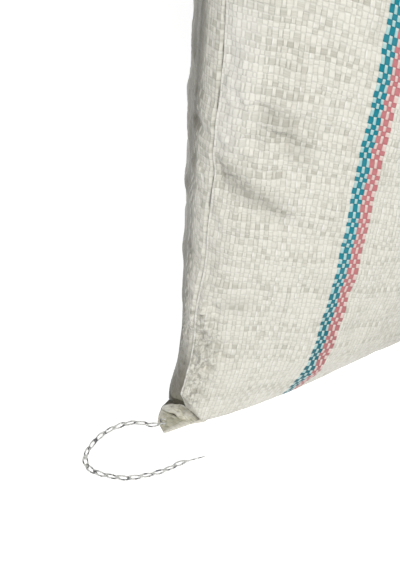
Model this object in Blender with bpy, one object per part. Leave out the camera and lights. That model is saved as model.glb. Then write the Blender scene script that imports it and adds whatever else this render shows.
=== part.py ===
"""A filled rubble sack of woven polypropylene, standing on its sewn bottom hem.

Metres, +Z up, the floor at z = 0 and the middle of the base at the origin.
X runs along the hems, the front faces -Y.
"""
import math

import bpy
from mathutils import Vector
from mathutils.geometry import interpolate_bezier

# The hems, where the fabric lies flat
LAY_FLAT_WIDTH = 0.500
HEM_DEPTH = 0.022
HEM_THICKNESS = 0.0042

# The filled body: height, half width, half depth, and how pointed the section's two ends are
STATIONS = [
    (0.006, 0.2400, 0.070, 0.60),
    (0.016, 0.2368, 0.080, 0.58),
    (0.030, 0.2318, 0.091, 0.56),
    (0.052, 0.2256, 0.103, 0.54),
    (0.085, 0.2190, 0.113, 0.51),
    (0.130, 0.2120, 0.117, 0.47),
    (0.190, 0.2050, 0.118, 0.40),
    (0.250, 0.1990, 0.117, 0.36),
    (0.310, 0.1950, 0.112, 0.33),
    (0.370, 0.1950, 0.101, 0.32),
    (0.430, 0.1990, 0.085, 0.32),
    (0.490, 0.2080, 0.065, 0.33),
    (0.540, 0.2190, 0.044, 0.35),
    (0.580, 0.2310, 0.025, 0.38),
    (0.604, 0.2400, 0.0125, 0.40),
]
ROWS_BETWEEN_STATIONS = 3
COLUMNS = 96
BASE_HALF_DEPTH = 0.066
BASE_POINTED = 0.60

# The main folds of each face: x and height of the middle, degrees from level, half length,
# half width, and how far the fold stands out, or in where it is below zero
FRONT_FOLDS = [
    (-0.020, 0.450, -6, 0.150, 0.020, -0.0045),
    (0.070, 0.395, 12, 0.120, 0.022, 0.0040),
    (-0.050, 0.320, -14, 0.110, 0.026, 0.0035),
    (0.100, 0.260, 18, 0.100, 0.026, -0.0040),
    (0.030, 0.180, -8, 0.110, 0.028, 0.0035),
    (0.120, 0.120, 14, 0.080, 0.022, -0.0030),
    (-0.135, 0.530, 72, 0.060, 0.016, -0.0040),
    (-0.050, 0.545, 84, 0.055, 0.016, 0.0040),
    (0.040, 0.545, 95, 0.055, 0.016, -0.0040),
    (0.130, 0.530, 106, 0.060, 0.016, 0.0040),
]
BACK_FOLDS = [
    (0.030, 0.440, 8, 0.140, 0.020, -0.0045),
    (-0.080, 0.385, -10, 0.110, 0.022, 0.0040),
    (0.060, 0.310, 16, 0.120, 0.026, 0.0035),
    (-0.060, 0.230, -16, 0.110, 0.026, -0.0040),
    (0.100, 0.170, 10, 0.100, 0.028, 0.0035),
    (-0.110, 0.125, -12, 0.060, 0.022, -0.0030),
    (-0.125, 0.530, 70, 0.060, 0.016, 0.0040),
    (-0.030, 0.545, 88, 0.055, 0.016, -0.0040),
    (0.055, 0.545, 94, 0.055, 0.016, 0.0040),
    (0.140, 0.530, 108, 0.060, 0.016, -0.0040),
]
FOLDS_START = 0.35

# The two ends of the bottom hem stick out from under the body, flat on the floor
EAR_HALF_DEPTH = 0.0105
EAR_ROUNDING = 6.0

# The sewn hem that stands on top, its two ends higher than its middle
TOP_HEM_MIDDLE = 0.614
TOP_HEM_RISE = 0.024

# The chain stitches: the row on each side of the hem is a flat strip
STITCH_WIDTH = 0.0022
STITCH_HEIGHT = 0.0012
STITCH_ABOVE_BODY = 0.008
STITCH_FROM_END = 0.010
STITCH_STEPS = 24
GAP = 0.0003

# The loose end of the sewing thread: route points from the left end of the bottom hem
THREAD_DIAMETER = 0.0030
TAIL_START_HEIGHT = 0.0023
TAIL_POINTS = 64
TAIL_ROUTE = [
    (-0.2496, 0.0060),
    (-0.2532, 0.0105),
    (-0.2562, 0.0165),
    (-0.2625, 0.0228),
    (-0.2743, 0.0271),
    (-0.2842, 0.0280),
    (-0.2940, 0.0258),
    (-0.3010, 0.0215),
    (-0.3042, 0.0150),
    (-0.3036, 0.0080),
    (-0.3005, 0.0010),
    (-0.2944, -0.0080),
    (-0.2872, -0.0140),
    (-0.2790, -0.0193),
    (-0.2700, -0.0230),
    (-0.2574, -0.0273),
    (-0.2467, -0.0330),
]


def clear_scene():
    """Start from an empty scene."""
    for thing in list(bpy.data.objects):
        bpy.data.objects.remove(thing, do_unlink=True)


def finish(name, colour, roughness):
    """A plain material."""
    material = bpy.data.materials.new(name)
    material.use_nodes = True
    shader = material.node_tree.nodes["Principled BSDF"]
    shader.inputs["Base Color"].default_value = (*colour, 1.0)
    shader.inputs["Roughness"].default_value = roughness
    shader.inputs["Metallic"].default_value = 0.0
    return material


def solid(name, points, faces, material):
    """An object made from its points and faces."""
    mesh = bpy.data.meshes.new(name)
    mesh.from_pydata(points, [], faces)
    mesh.materials.append(material)
    mesh.shade_smooth()
    mesh.set_sharp_from_angle(angle=math.radians(40))
    thing = bpy.data.objects.new(name, mesh)
    bpy.context.scene.collection.objects.link(thing)
    return thing


def curve_between(before, start, end, after, t):
    """A smooth value between start and end that also follows the values on either side."""
    leaving = (end - before) / 2
    arriving = (after - start) / 2
    value = start * (2 * t ** 3 - 3 * t ** 2 + 1) + leaving * (t ** 3 - 2 * t ** 2 + t)
    return value + end * (3 * t ** 2 - 2 * t ** 3) + arriving * (t ** 3 - t ** 2)


def body_rows():
    """The sections of the filled body from low to high, with rows added between the stations."""
    rows = []
    last = len(STATIONS) - 1
    for index in range(last):
        around = [STATIONS[max(0, min(last, index + step))] for step in (-1, 0, 1, 2)]
        for step in range(ROWS_BETWEEN_STATIONS):
            t = step / ROWS_BETWEEN_STATIONS
            rows.append(tuple(curve_between(*(place[k] for place in around), t) for k in range(4)))
    rows.append(STATIONS[last])
    return rows


def turns():
    """The angle of each column: the left crease is at zero, the front at a quarter turn."""
    return [math.tau * column / COLUMNS for column in range(COLUMNS)]


def fold_relief(x, height, folds):
    """How far the folds of a face push it out at a place."""
    out = 0.0
    for fold_x, fold_z, degrees, half_length, half_width, stands_out in folds:
        slope = math.radians(degrees)
        along = (x - fold_x) * math.cos(slope) + (height - fold_z) * math.sin(slope)
        aside = (height - fold_z) * math.cos(slope) - (x - fold_x) * math.sin(slope)
        out += stands_out * math.exp(-(along / half_length) ** 2 - (aside / half_width) ** 2)
    return out


def section(height, half_width, half_depth, pointed):
    """One closed loop of points: a folded lens whose two ends are the side creases of the sack."""
    loop = []
    for turn in turns():
        across = math.sin(turn)
        x = -half_width * math.cos(turn)
        reach = half_depth * abs(across) ** (1 + pointed)
        start = min(1.0, abs(across) / FOLDS_START)
        folds = FRONT_FOLDS if across > 0 else BACK_FOLDS
        reach += start * start * (3 - 2 * start) * fold_relief(x, height, folds)
        loop.append((x, -math.copysign(reach, across), height))
    return loop


def base_section(height, half_width):
    """The outline that lies on the floor: the base of the body and the two ends of the hem."""
    loop = []
    for turn in turns():
        across = math.sin(turn)
        body = BASE_HALF_DEPTH * abs(across) ** (1 + BASE_POINTED)
        ear = EAR_HALF_DEPTH * min(1.0, abs(across) * EAR_ROUNDING)
        loop.append((-half_width * math.cos(turn), -math.copysign(max(body, ear), across), height))
    return loop


def top_hem_height(x):
    """The height of the top hem's lower edge, which is higher towards its two ends."""
    return TOP_HEM_MIDDLE + TOP_HEM_RISE * (2 * x / LAY_FLAT_WIDTH) ** 2


def hem_section(above):
    """The flat top hem, at a height above its lower edge."""
    loop = []
    for turn in turns():
        across = math.sin(turn)
        x = -LAY_FLAT_WIDTH / 2 * math.cos(turn)
        reach = HEM_THICKNESS / 2 * min(1.0, abs(across) * EAR_ROUNDING)
        loop.append((x, -math.copysign(reach, across), top_hem_height(x) + above))
    return loop


def skin(loops):
    """Faces between loops of points, the first and the last loop closed by a face each."""
    points = [point for loop in loops for point in loop]
    faces = [tuple(reversed(range(COLUMNS)))]
    for row in range(len(loops) - 1):
        for column in range(COLUMNS):
            near = row * COLUMNS + column
            beside = row * COLUMNS + (column + 1) % COLUMNS
            faces.append((near, beside, beside + COLUMNS, near + COLUMNS))
    start = (len(loops) - 1) * COLUMNS
    for column in range(COLUMNS // 2):
        front = start + column
        front_next = start + column + 1
        back = start + (COLUMNS - column) % COLUMNS
        back_next = start + COLUMNS - column - 1
        corners = []
        for corner in (front, front_next, back_next, back):
            if corner not in corners:
                corners.append(corner)
        faces.append(tuple(corners))
    return points, faces


def make_sack(fabric):
    """The fabric and the rubble it holds, from the flat base to the sewn top hem."""
    half_width = LAY_FLAT_WIDTH / 2
    loops = [base_section(0.0, half_width - 0.0006), base_section(HEM_THICKNESS, half_width)]
    loops += [section(*row) for row in body_rows()]
    loops += [hem_section(0.0), hem_section(HEM_DEPTH)]
    points, faces = skin(loops)
    return solid("woven_sack", points, faces, fabric)


def make_top_stitching(thread, side):
    """The row of chain stitches on one side of the top hem, a flat strip that follows the hem."""
    name = "top_stitching_front" if side < 0 else "top_stitching_back"
    inner = HEM_THICKNESS / 2 + GAP
    outer = inner + STITCH_HEIGHT
    half_length = LAY_FLAT_WIDTH / 2 - STITCH_FROM_END
    points = []
    for step in range(STITCH_STEPS + 1):
        x = half_length * (2 * step / STITCH_STEPS - 1)
        middle = top_hem_height(x) + STITCH_ABOVE_BODY
        low = middle - STITCH_WIDTH / 2
        high = middle + STITCH_WIDTH / 2
        for y, z in ((inner, low), (outer, low), (outer, high), (inner, high)):
            points.append((x, side * y, z))
    faces = [(0, 3, 2, 1)]
    for step in range(STITCH_STEPS):
        for corner in range(4):
            near = step * 4 + corner
            beside = step * 4 + (corner + 1) % 4
            faces.append((near, beside, beside + 4, near + 4))
    end = STITCH_STEPS * 4
    faces.append((end, end + 1, end + 2, end + 3))
    if side < 0:
        faces = [tuple(reversed(face)) for face in faces]
    return solid(name, points, faces, thread)


def route_points():
    """The thread's route points, the first a little above the floor where it leaves the hem."""
    points = []
    for index, (x, y) in enumerate(TAIL_ROUTE):
        z = TAIL_START_HEIGHT if index == 0 else THREAD_DIAMETER / 2 + GAP
        points.append(Vector((x, y, z)))
    return points


def smooth_route(points, count):
    """Evenly spaced points on a smooth curve through the route points."""
    last = len(points) - 1
    path = []
    for index in range(last):
        start = points[index]
        end = points[index + 1]
        leaving = (end - points[max(0, index - 1)]) / 6
        arriving = (points[min(last, index + 2)] - start) / 6
        piece = interpolate_bezier(start, start + leaving, end - arriving, end, 40)
        path.extend(piece if index == last - 1 else piece[:-1])
    reach = [0.0]
    for near, far in zip(path, path[1:]):
        reach.append(reach[-1] + (far - near).length)
    even = []
    place = 0
    for step in range(count):
        goal = reach[-1] * step / (count - 1)
        while place < len(path) - 2 and reach[place + 1] < goal:
            place += 1
        part = (goal - reach[place]) / (reach[place + 1] - reach[place])
        even.append(path[place].lerp(path[place + 1], part))
    return even


def make_thread_tail(thread):
    """The loose thread, one round tube along its route on the floor."""
    curve = bpy.data.curves.new("thread_tail", "CURVE")
    curve.dimensions = "3D"
    curve.bevel_depth = THREAD_DIAMETER / 2
    curve.bevel_resolution = 2
    curve.use_fill_caps = True
    route = smooth_route(route_points(), TAIL_POINTS)
    spline = curve.splines.new("POLY")
    spline.points.add(len(route) - 1)
    for point, place in zip(spline.points, route):
        point.co = (*place, 1.0)
    curve.materials.append(thread)
    thing = bpy.data.objects.new("thread_tail", curve)
    bpy.context.scene.collection.objects.link(thing)
    return thing


clear_scene()
fabric = finish("woven_polypropylene", (0.72, 0.71, 0.66), 0.45)
thread = finish("white_thread", (0.82, 0.81, 0.78), 0.70)
make_sack(fabric)
for side in (-1, 1):
    make_top_stitching(thread, side)
make_thread_tail(thread)
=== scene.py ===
# %% [markdown]
# # A filled rubble sack
# The sack is a tube of fabric woven from flat plastic tapes. It is hemmed and sewn flat along its bottom
# and its top, and the rubble inside has pushed the tube round. This lesson builds it cell by cell: the
# camera and the room, the shape of the filled cloth, its wrinkles, the hems, the sewing thread, and last the
# woven finish.
#
# The solids of the part come first, as a frame that is only looked at. Everything below is measured in
# metres in that frame, and each new piece takes the place of one of its solids.

# %% Load the frame
import math
from types import SimpleNamespace

import bpy
import numpy as np
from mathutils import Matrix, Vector


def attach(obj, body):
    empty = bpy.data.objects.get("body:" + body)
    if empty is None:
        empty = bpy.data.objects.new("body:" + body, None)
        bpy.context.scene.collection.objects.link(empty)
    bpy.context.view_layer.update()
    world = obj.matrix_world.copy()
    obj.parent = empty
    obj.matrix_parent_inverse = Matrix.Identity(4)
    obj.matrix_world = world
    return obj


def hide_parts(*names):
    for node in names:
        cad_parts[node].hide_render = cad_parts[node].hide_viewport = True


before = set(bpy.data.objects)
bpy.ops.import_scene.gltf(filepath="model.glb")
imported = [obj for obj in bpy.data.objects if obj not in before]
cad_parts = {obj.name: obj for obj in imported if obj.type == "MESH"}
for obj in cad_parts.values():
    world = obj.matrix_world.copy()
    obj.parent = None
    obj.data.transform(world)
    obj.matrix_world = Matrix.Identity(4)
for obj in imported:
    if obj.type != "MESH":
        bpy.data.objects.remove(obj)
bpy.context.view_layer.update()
print("solids:", sorted(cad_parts))

# %% [markdown]
# ## The camera
# The photograph looks down on the lower left corner of the sack from close by, so near things look a good
# deal larger than far ones. A camera that stands further off with a longer lens would fill the frame with
# the same corner, but the stripe and the base would lean differently. This one stands where the weave's
# rows and tapes run as they do in the photograph: a little over half a metre from the corner, turned
# between the front and the side.

# %% Place the camera
CAMERA_PLACE = Vector((-0.5220, -0.2820, 0.4736))
CAMERA_TURN = math.radians(47.28)
CAMERA_DOWN = math.radians(41.375)
LENS_MM = 58.31
SENSOR_MM = 36.0


def put_in_scene(name, data):
    """A new object of the scene, made from its data."""
    thing = bpy.data.objects.new(name, data)
    bpy.context.scene.collection.objects.link(thing)
    return thing


def point_along(thing, direction):
    """Turns a camera or a lamp so that it looks in a direction."""
    thing.rotation_mode = "QUATERNION"
    thing.rotation_quaternion = direction.to_track_quat("-Z", "Y")


level = math.cos(CAMERA_DOWN)
looking = Vector((math.sin(CAMERA_TURN) * level, math.cos(CAMERA_TURN) * level, -math.sin(CAMERA_DOWN)))
camera = put_in_scene("camera", bpy.data.cameras.new("camera"))
camera.data.lens = LENS_MM
camera.data.sensor_width = SENSOR_MM
camera.location = CAMERA_PLACE
point_along(camera, looking)
bpy.context.scene.camera = camera
print("camera height:", round(CAMERA_PLACE.z, 3))

# %% [markdown]
# ## The room
# A studio floor and a faint pale sky are enough. The floor is one big plane that glows softly by itself, so
# the background stays white all round the sack, as in a cut-out photograph.

# %% Floor and sky
FLOOR_REACH = 6.0
FLOOR_LOOK = {
    "Base Color": (0.45, 0.45, 0.45, 1.0),
    "Roughness": 0.9,
    "Emission Color": (1.0, 1.0, 1.0, 1.0),
    "Emission Strength": 0.82,
}
SKY_COLOUR = (0.93, 0.95, 1.0, 1.0)
SKY_STRENGTH = 0.12

floor_mesh = bpy.data.meshes.new("floor")
floor_corners = [(FLOOR_REACH * x, FLOOR_REACH * y, 0.0) for x, y in ((-1, -1), (1, -1), (1, 1), (-1, 1))]
floor_mesh.from_pydata(floor_corners, [], [(0, 1, 2, 3)])
floor_finish = bpy.data.materials.new("pale_floor")
floor_finish.use_nodes = True
for socket, value in FLOOR_LOOK.items():
    floor_finish.node_tree.nodes["Principled BSDF"].inputs[socket].default_value = value
floor_mesh.materials.append(floor_finish)
floor = put_in_scene("floor", floor_mesh)

sky = bpy.data.worlds.new("pale_sky")
sky.use_nodes = True
sky.node_tree.nodes["Background"].inputs["Color"].default_value = SKY_COLOUR
sky.node_tree.nodes["Background"].inputs["Strength"].default_value = SKY_STRENGTH
bpy.context.scene.world = sky
print("floor:", 2 * FLOOR_REACH, "m wide")

# %% [markdown]
# The main light is a panel high up in front, on the left. It rakes down over the wide face, so every dent
# turns a little darker, and it barely reaches the narrow strip behind the side crease, which stays dull. A
# panel gives the plastic tapes a broad, quiet gloss, where a small lamp would give a hard white spot. Four
# weak panels around the sack only keep the shadows from going black.

# %% Light panels
BELLY = (0.0, 0.0, 0.25)
FLOOR_BEHIND = (-0.25, 0.35, 0.0)
WARM_WHITE = (1.0, 0.985, 0.955)
PANELS = [
    # name, place, what it shines at, size, watts
    ("main_panel", (-1.35, -1.25, 2.1), BELLY, 0.6, 54.0),
    ("front_panel", (-0.3, -2.2, 1.6), BELLY, 1.1, 4.0),
    ("right_panel", (1.7, -0.9, 0.8), BELLY, 0.8, 2.0),
    ("left_panel", (-2.3, -1.0, 1.0), BELLY, 1.1, 3.0),
    ("back_panel", (0.1, 1.6, 1.0), FLOOR_BEHIND, 0.8, 4.0),
]

for name, place, aim, size, watts in PANELS:
    lamp = bpy.data.lights.new(name, "AREA")
    lamp.shape = "SQUARE"
    lamp.size = size
    lamp.energy = watts
    lamp.color = WARM_WHITE
    panel = put_in_scene(name, lamp)
    panel.location = place
    point_along(panel, Vector(aim) - Vector(place))
bpy.context.scene.view_settings.view_transform = "Standard"
print("lights:", [panel[0] for panel in PANELS])

# %% [markdown]
# ## The filled shape
# Lay the empty sack flat and it is a rectangle: half a metre wide, a little over 0.7 m between its two
# seams. Fill it, and each level turns from a flat line into a lens, pointed where the side creases are.
# Low down the lens is wide and thin, at the belly it is nearly an oval, and at the top hem it is flat
# again.
#
# A cloth simulation with air pressure gives a balloon, much rounder than a sack that rubble fills, and it
# doesn't let the creases be put where the photograph has them. So the shape is written down as a short
# list of sizes at a few heights, with a smooth curve between them.

# %% Sizes at a few heights
LAY_FLAT = 0.500
STATIONS = np.array([
    # height, half width, half depth, how pointed the two ends are
    (0.000, 0.2425, 0.0615, 0.60),
    (0.002, 0.2432, 0.0645, 0.60),
    (0.006, 0.2425, 0.0690, 0.60),
    (0.016, 0.2385, 0.0785, 0.58),
    (0.030, 0.2330, 0.0910, 0.56),
    (0.052, 0.2256, 0.1030, 0.54),
    (0.085, 0.2190, 0.1130, 0.51),
    (0.130, 0.2120, 0.1170, 0.47),
    (0.190, 0.2050, 0.1180, 0.40),
    (0.250, 0.1990, 0.1170, 0.36),
    (0.310, 0.1950, 0.1120, 0.33),
    (0.370, 0.1950, 0.1010, 0.32),
    (0.430, 0.1990, 0.0850, 0.32),
    (0.490, 0.2080, 0.0650, 0.33),
    (0.540, 0.2190, 0.0440, 0.35),
    (0.580, 0.2310, 0.0250, 0.38),
    (0.604, 0.2400, 0.0125, 0.40),
    (0.626, 0.2490, 0.0022, 0.40),
])
SEAM_STATION = STATIONS[-1, 0]


def smooth_between(places, values, at):
    """Values at any place, on a smooth curve through the given ones."""
    slope = np.gradient(values, places)
    index = np.clip(np.searchsorted(places, at, side="right") - 1, 0, len(places) - 2)
    step = places[index + 1] - places[index]
    t = np.clip((at - places[index]) / step, 0.0, 1.0)
    start, end = values[index], values[index + 1]
    leaving, arriving = slope[index] * step, slope[index + 1] * step
    value = start * (2 * t ** 3 - 3 * t ** 2 + 1) + leaving * (t ** 3 - 2 * t ** 2 + t)
    return value + end * (3 * t ** 2 - 2 * t ** 3) + arriving * (t ** 3 - t ** 2)


def body_size(height):
    """Half width, half depth and pointedness of the filled body at each height."""
    return [smooth_between(STATIONS[:, 0], STATIONS[:, column], height) for column in (1, 2, 3)]


belly = body_size(np.array([0.2]))
print("at 0.2 m: half width %.3f, half depth %.3f" % (belly[0][0], belly[1][0]))

# %% [markdown]
# ## Where each thread of the cloth lies
# The weave has to follow the cloth, so every point of the sack is found from its place on the flat cloth:
# how far it is from the left crease, and how far it is above the bottom seam. Round the body, distance from
# the crease is measured along the lens. Up the body, two things happen to a row of the weave. In the
# middle of a face the cloth has to run out under the base and up over the belly, so a row hangs lower
# there than at the creases. And near the top the creases have cloth to spare, which ends up in puckers.

# %% From the flat cloth to a height
SEAM_TO_SEAM = 0.705
RISE_PER_CLOTH = 0.985
SAG_CLOTH_HEIGHTS = np.array([0.0, 0.02, 0.09, 0.18, 0.28, 0.42, 0.72])
SAG_IN_MIDDLE = np.array([0.031, 0.031, 0.032, 0.044, 0.070, 0.080, 0.080])
CREASE_SPARE = 0.0565
CREASE_SPARE_FROM = 0.36


def ease(t):
    """A smooth step from 0 to 1."""
    t = np.clip(t, 0.0, 1.0)
    return t * t * (3 - 2 * t)


def cloth_height(across, up):
    """How high a point of the cloth comes, below the floor where it lies under the base."""
    middle = np.sin(math.pi * np.clip(across / LAY_FLAT, 0, 1)) ** 2
    sag = np.interp(up, SAG_CLOTH_HEIGHTS, SAG_IN_MIDDLE)
    spare = CREASE_SPARE * ease((up - CREASE_SPARE_FROM) / (SEAM_TO_SEAM - CREASE_SPARE_FROM))
    return RISE_PER_CLOTH * up - sag * middle - spare * (1 - middle)


top_seam = cloth_height(np.array([0.0, LAY_FLAT / 2]), np.full(2, SEAM_TO_SEAM))
print("height of the top seam, at the crease and mid-face:", top_seam.round(3))

# %% [markdown]
# The height picks the lens, and the distance from the crease picks the place on its rim. A lens drawn with
# powers of a sine ends in a knife edge. Cloth that bends round rubble is blunter, so the tips get a small
# round.

# %% From a height to the filled sack
ARC_STEPS = 120
TIP_ROUND = 0.0045
TIP_TURN = 0.16
# the round grows from the first height on, and has gone at the second, over these lengths
TIP_GROWS = (0.03, 0.08)
TIP_FADES = (0.55, 0.15)
TIP_STRETCH = 0.075


def arc_lengths(x, y):
    """Length along each row of points, from its first point."""
    step = np.hypot(np.diff(x, axis=1), np.diff(y, axis=1))
    return np.concatenate([np.zeros((len(x), 1)), np.cumsum(step, axis=1)], axis=1)


def round_the_lens(across, height):
    """Place on the lens at a height: x, and how far from the middle plane."""
    half_width, half_depth, pointed = body_size(height)
    turn = np.linspace(0.0, math.pi, ARC_STEPS)
    x = -half_width[:, None] * np.cos(turn)
    y = half_depth[:, None] * np.sin(turn) ** (1 + pointed[:, None])
    plain_length = arc_lengths(x, y)[:, -1]
    round_tip = TIP_ROUND * ease((height - TIP_GROWS[0]) / TIP_GROWS[1])
    round_tip = round_tip * ease((TIP_FADES[0] - height) / TIP_FADES[1])
    y += round_tip[:, None] * np.sin(turn) / TIP_TURN * np.exp(0.5 - 0.5 * (np.sin(turn) / TIP_TURN) ** 2)
    along = arc_lengths(x, y)
    added = (along[:, -1] - plain_length) / 2
    goal = across + (plain_length - LAY_FLAT) * ease(across / LAY_FLAT)
    goal += added * (ease(across / TIP_STRETCH) + 1 - ease((LAY_FLAT - across) / TIP_STRETCH))
    found = np.clip((along <= goal[:, None]).sum(axis=1) - 1, 0, ARC_STEPS - 2)
    row = np.arange(len(x))
    t = (goal - along[row, found]) / (along[row, found + 1] - along[row, found])
    return [line[row, found] * (1 - t) + line[row, found + 1] * t for line in (x, y)]


def filled_sack(across, up):
    """Points of the filled sack's front face, before its wrinkles. Both inputs are grids."""
    height = cloth_height(across, up)
    seam_height = cloth_height(across, np.full_like(up, SEAM_TO_SEAM))
    level = np.clip(height, 0.0, None) * (1 + (SEAM_STATION / seam_height - 1) * ease(height / seam_height))
    x, y = [line.reshape(across.shape) for line in round_the_lens(across.ravel(), level.ravel())]
    deepest = cloth_height(across, np.zeros_like(up))
    under = np.clip(height / np.minimum(deepest, -1e-6), 0.0, 1.0)
    return np.stack([x, -y * (1 - under), np.clip(height, 0.0, None)], axis=-1)


corner = filled_sack(np.array([[0.0, 0.25]]), np.array([[0.3, 0.3]]))
print("0.3 m above the seam, at the crease and mid-face:", corner.round(3).tolist())

# %% [markdown]
# The lowest part of each side crease is tucked in behind the hem, where the ear sticks out from under it. So
# the points that reach past a given width there are drawn back to it, and the corner ends in a flat.

# %% Tuck in the lowest corners
TUCK_HEIGHTS = np.array([0.0, 0.004, 0.010, 0.014, 0.018, 0.024, 0.032])
TUCK_REACH = np.array([0.2275, 0.2285, 0.2300, 0.2312, 0.2322, 0.2345, 0.2440])
TUCK_SHARE = 0.93


def blunt_corners(points):
    """Tucks in the lowest part of the two side creases, so it ends in a flat."""
    tip = np.interp(points[..., 2], TUCK_HEIGHTS, TUCK_REACH)
    reach = np.abs(points[..., 0])
    points[..., 0] = np.sign(points[..., 0]) * (reach - np.clip(reach - tip, 0.0, None) * TUCK_SHARE)
    return points


print("the corner reaches", TUCK_REACH[0], "m from the middle at the floor")

# %% [markdown]
# ## Wrinkles
# Woven tape cloth is stiff for its weight. It doesn't hang in soft folds but dents and buckles: broad
# shallow dents cross the face, short puckers cross the side creases, long shallow folds run down from the
# top seam, and the lumps of rubble push from behind. Each kind is a small function of the place on the flat
# cloth that says how far the surface moves in or out, and the sum is added along the surface's own
# direction. The few folds that are wide enough to change the sack's form come first. The solid has them too.

# %% The main folds
# x and height of the middle, degrees from level, half length, half width, how far it stands out
FRONT_FOLDS = [
    (-0.020, 0.450, -6, 0.150, 0.020, -0.0045),
    (0.070, 0.395, 12, 0.120, 0.022, 0.0040),
    (-0.050, 0.320, -14, 0.110, 0.026, 0.0035),
    (0.100, 0.260, 18, 0.100, 0.026, -0.0040),
    (0.030, 0.180, -8, 0.110, 0.028, 0.0035),
    (0.120, 0.120, 14, 0.080, 0.022, -0.0030),
    (-0.135, 0.530, 72, 0.060, 0.016, -0.0040),
    (-0.050, 0.545, 84, 0.055, 0.016, 0.0040),
    (0.040, 0.545, 95, 0.055, 0.016, -0.0040),
    (0.130, 0.530, 106, 0.060, 0.016, 0.0040),
]
BACK_FOLDS = [
    (0.030, 0.440, 8, 0.140, 0.020, -0.0045),
    (-0.080, 0.385, -10, 0.110, 0.022, 0.0040),
    (0.060, 0.310, 16, 0.120, 0.026, 0.0035),
    (-0.060, 0.230, -16, 0.110, 0.026, -0.0040),
    (0.100, 0.170, 10, 0.100, 0.028, 0.0035),
    (-0.110, 0.125, -12, 0.060, 0.022, -0.0030),
    (-0.125, 0.530, 70, 0.060, 0.016, 0.0040),
    (-0.030, 0.545, 88, 0.055, 0.016, -0.0040),
    (0.055, 0.545, 94, 0.055, 0.016, 0.0040),
    (0.140, 0.530, 108, 0.060, 0.016, -0.0040),
]
FOLDS_START = 0.045


def fold_relief(x, height, folds):
    """How far the folds of a face push it out at each place."""
    out = np.zeros_like(x)
    for fold_x, fold_z, degrees, half_length, half_width, stands_out in folds:
        slope = math.radians(degrees)
        along = (x - fold_x) * math.cos(slope) + (height - fold_z) * math.sin(slope)
        aside = (height - fold_z) * math.cos(slope) - (x - fold_x) * math.sin(slope)
        out += stands_out * np.exp(-(along / half_length) ** 2 - (aside / half_width) ** 2)
    return out


print("main folds:", len(FRONT_FOLDS), "in front and", len(BACK_FOLDS), "behind")

# %% [markdown]
# The smaller wrinkles are placed on the flat cloth, because they follow its tapes. A tape cloth creases
# most easily along a tape, so the sharp little ridges lie along the rows and come in pairs, a ridge with a
# groove below it. The two broad dents beside the crease are pairs as well, but wide and gentle: the camera
# looks down on the face, and a steep dent would hide its own dark side.

# %% Ridges, dents and pleats
# place on the cloth (from the left crease, above the seam), heading, half length, half width, height
FRONT_BANDS = [
    ((0.0150, 0.2345), 6, 0.0190, 0.0016, 0.0010),
    ((0.0150, 0.2318), 6, 0.0190, 0.0014, -0.0010),
    ((0.0150, 0.2285), 5, 0.0180, 0.0014, -0.0009),
    ((0.0340, 0.2208), -12, 0.0150, 0.0015, 0.0008),
    ((0.0340, 0.2182), -12, 0.0150, 0.0014, -0.0009),
    ((0.0425, 0.2250), -46, 0.0220, 0.0100, 0.0013),
    ((0.0325, 0.2170), -46, 0.0220, 0.0100, -0.0016),
    ((0.0110, 0.1902), 12, 0.0130, 0.0015, 0.0008),
    ((0.0110, 0.1878), 12, 0.0130, 0.0014, -0.0009),
    ((0.0266, 0.1875), -31, 0.0250, 0.0105, 0.0019),
    ((0.0200, 0.1745), -31, 0.0250, 0.0105, -0.0024),
    ((0.0300, 0.1738), 0, 0.0190, 0.0015, 0.0004),
    ((0.0300, 0.1712), 0, 0.0190, 0.0014, -0.0005),
    ((0.0380, 0.1640), -12, 0.0240, 0.0060, -0.0018),
    ((0.0120, 0.1480), -10, 0.0180, 0.0050, -0.0010),
    ((0.0550, 0.1860), -22, 0.0300, 0.0075, 0.0020),
    ((0.0640, 0.2230), -14, 0.0300, 0.0060, -0.0018),
    ((0.0140, 0.1180), 14, 0.0130, 0.0050, -0.0012),
    ((0.0110, 0.0830), -25, 0.0110, 0.0040, -0.0018),
    ((0.0100, 0.0680), 35, 0.0090, 0.0035, -0.0024),
    ((0.0120, 0.0560), -20, 0.0090, 0.0030, 0.0014),
    ((0.0090, 0.0460), 50, 0.0080, 0.0035, -0.0024),
    ((0.0110, 0.0340), 20, 0.0080, 0.0035, -0.0014),
    ((0.0220, 0.0500), -15, 0.0140, 0.0060, 0.0012),
    ((0.4700, 0.1850), 8, 0.0220, 0.0024, 0.0012),
    ((0.4600, 0.1500), 4, 0.0240, 0.0070, -0.0022),
]
BACK_BANDS = [
    ((0.0450, 0.1550), 0, 0.0220, 0.0060, 0.0020),
    ((0.0130, 0.2080), 8, 0.0160, 0.0030, -0.0012),
    ((0.0140, 0.1800), -12, 0.0160, 0.0040, 0.0012),
    ((0.0120, 0.1250), 10, 0.0150, 0.0040, -0.0012),
    ((0.1300, 0.2100), -6, 0.0300, 0.0024, 0.0012),
    ((0.3600, 0.1700), 5, 0.0260, 0.0070, -0.0022),
    ((0.4500, 0.1300), 8, 0.0240, 0.0050, -0.0016),
]
# patches of short upright pleats: place, half width, half height, from pleat to pleat, depth
PLEAT_PATCHES = [
    ((0.0180, 0.1810), 0.0150, 0.0080, 0.0052, 0.00050),
    ((0.0160, 0.2180), 0.0160, 0.0060, 0.0060, 0.00030),
    ((0.0100, 0.0560), 0.0090, 0.0110, 0.0060, 0.00045),
    ((0.4700, 0.1500), 0.0200, 0.0090, 0.0056, 0.00050),
]


def waves(across, up, seed, count, shortest, longest):
    """A soft random relief between about -1 and 1, made of a few plain waves."""
    dice = np.random.default_rng(seed)
    total = np.zeros_like(across)
    for _ in range(count):
        length = dice.uniform(shortest, longest)
        heading = dice.uniform(0, math.pi)
        start = dice.uniform(0, math.tau)
        total += np.sin(math.tau * (across * math.cos(heading) + up * math.sin(heading)) / length + start)
    return total / math.sqrt(count)


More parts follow.
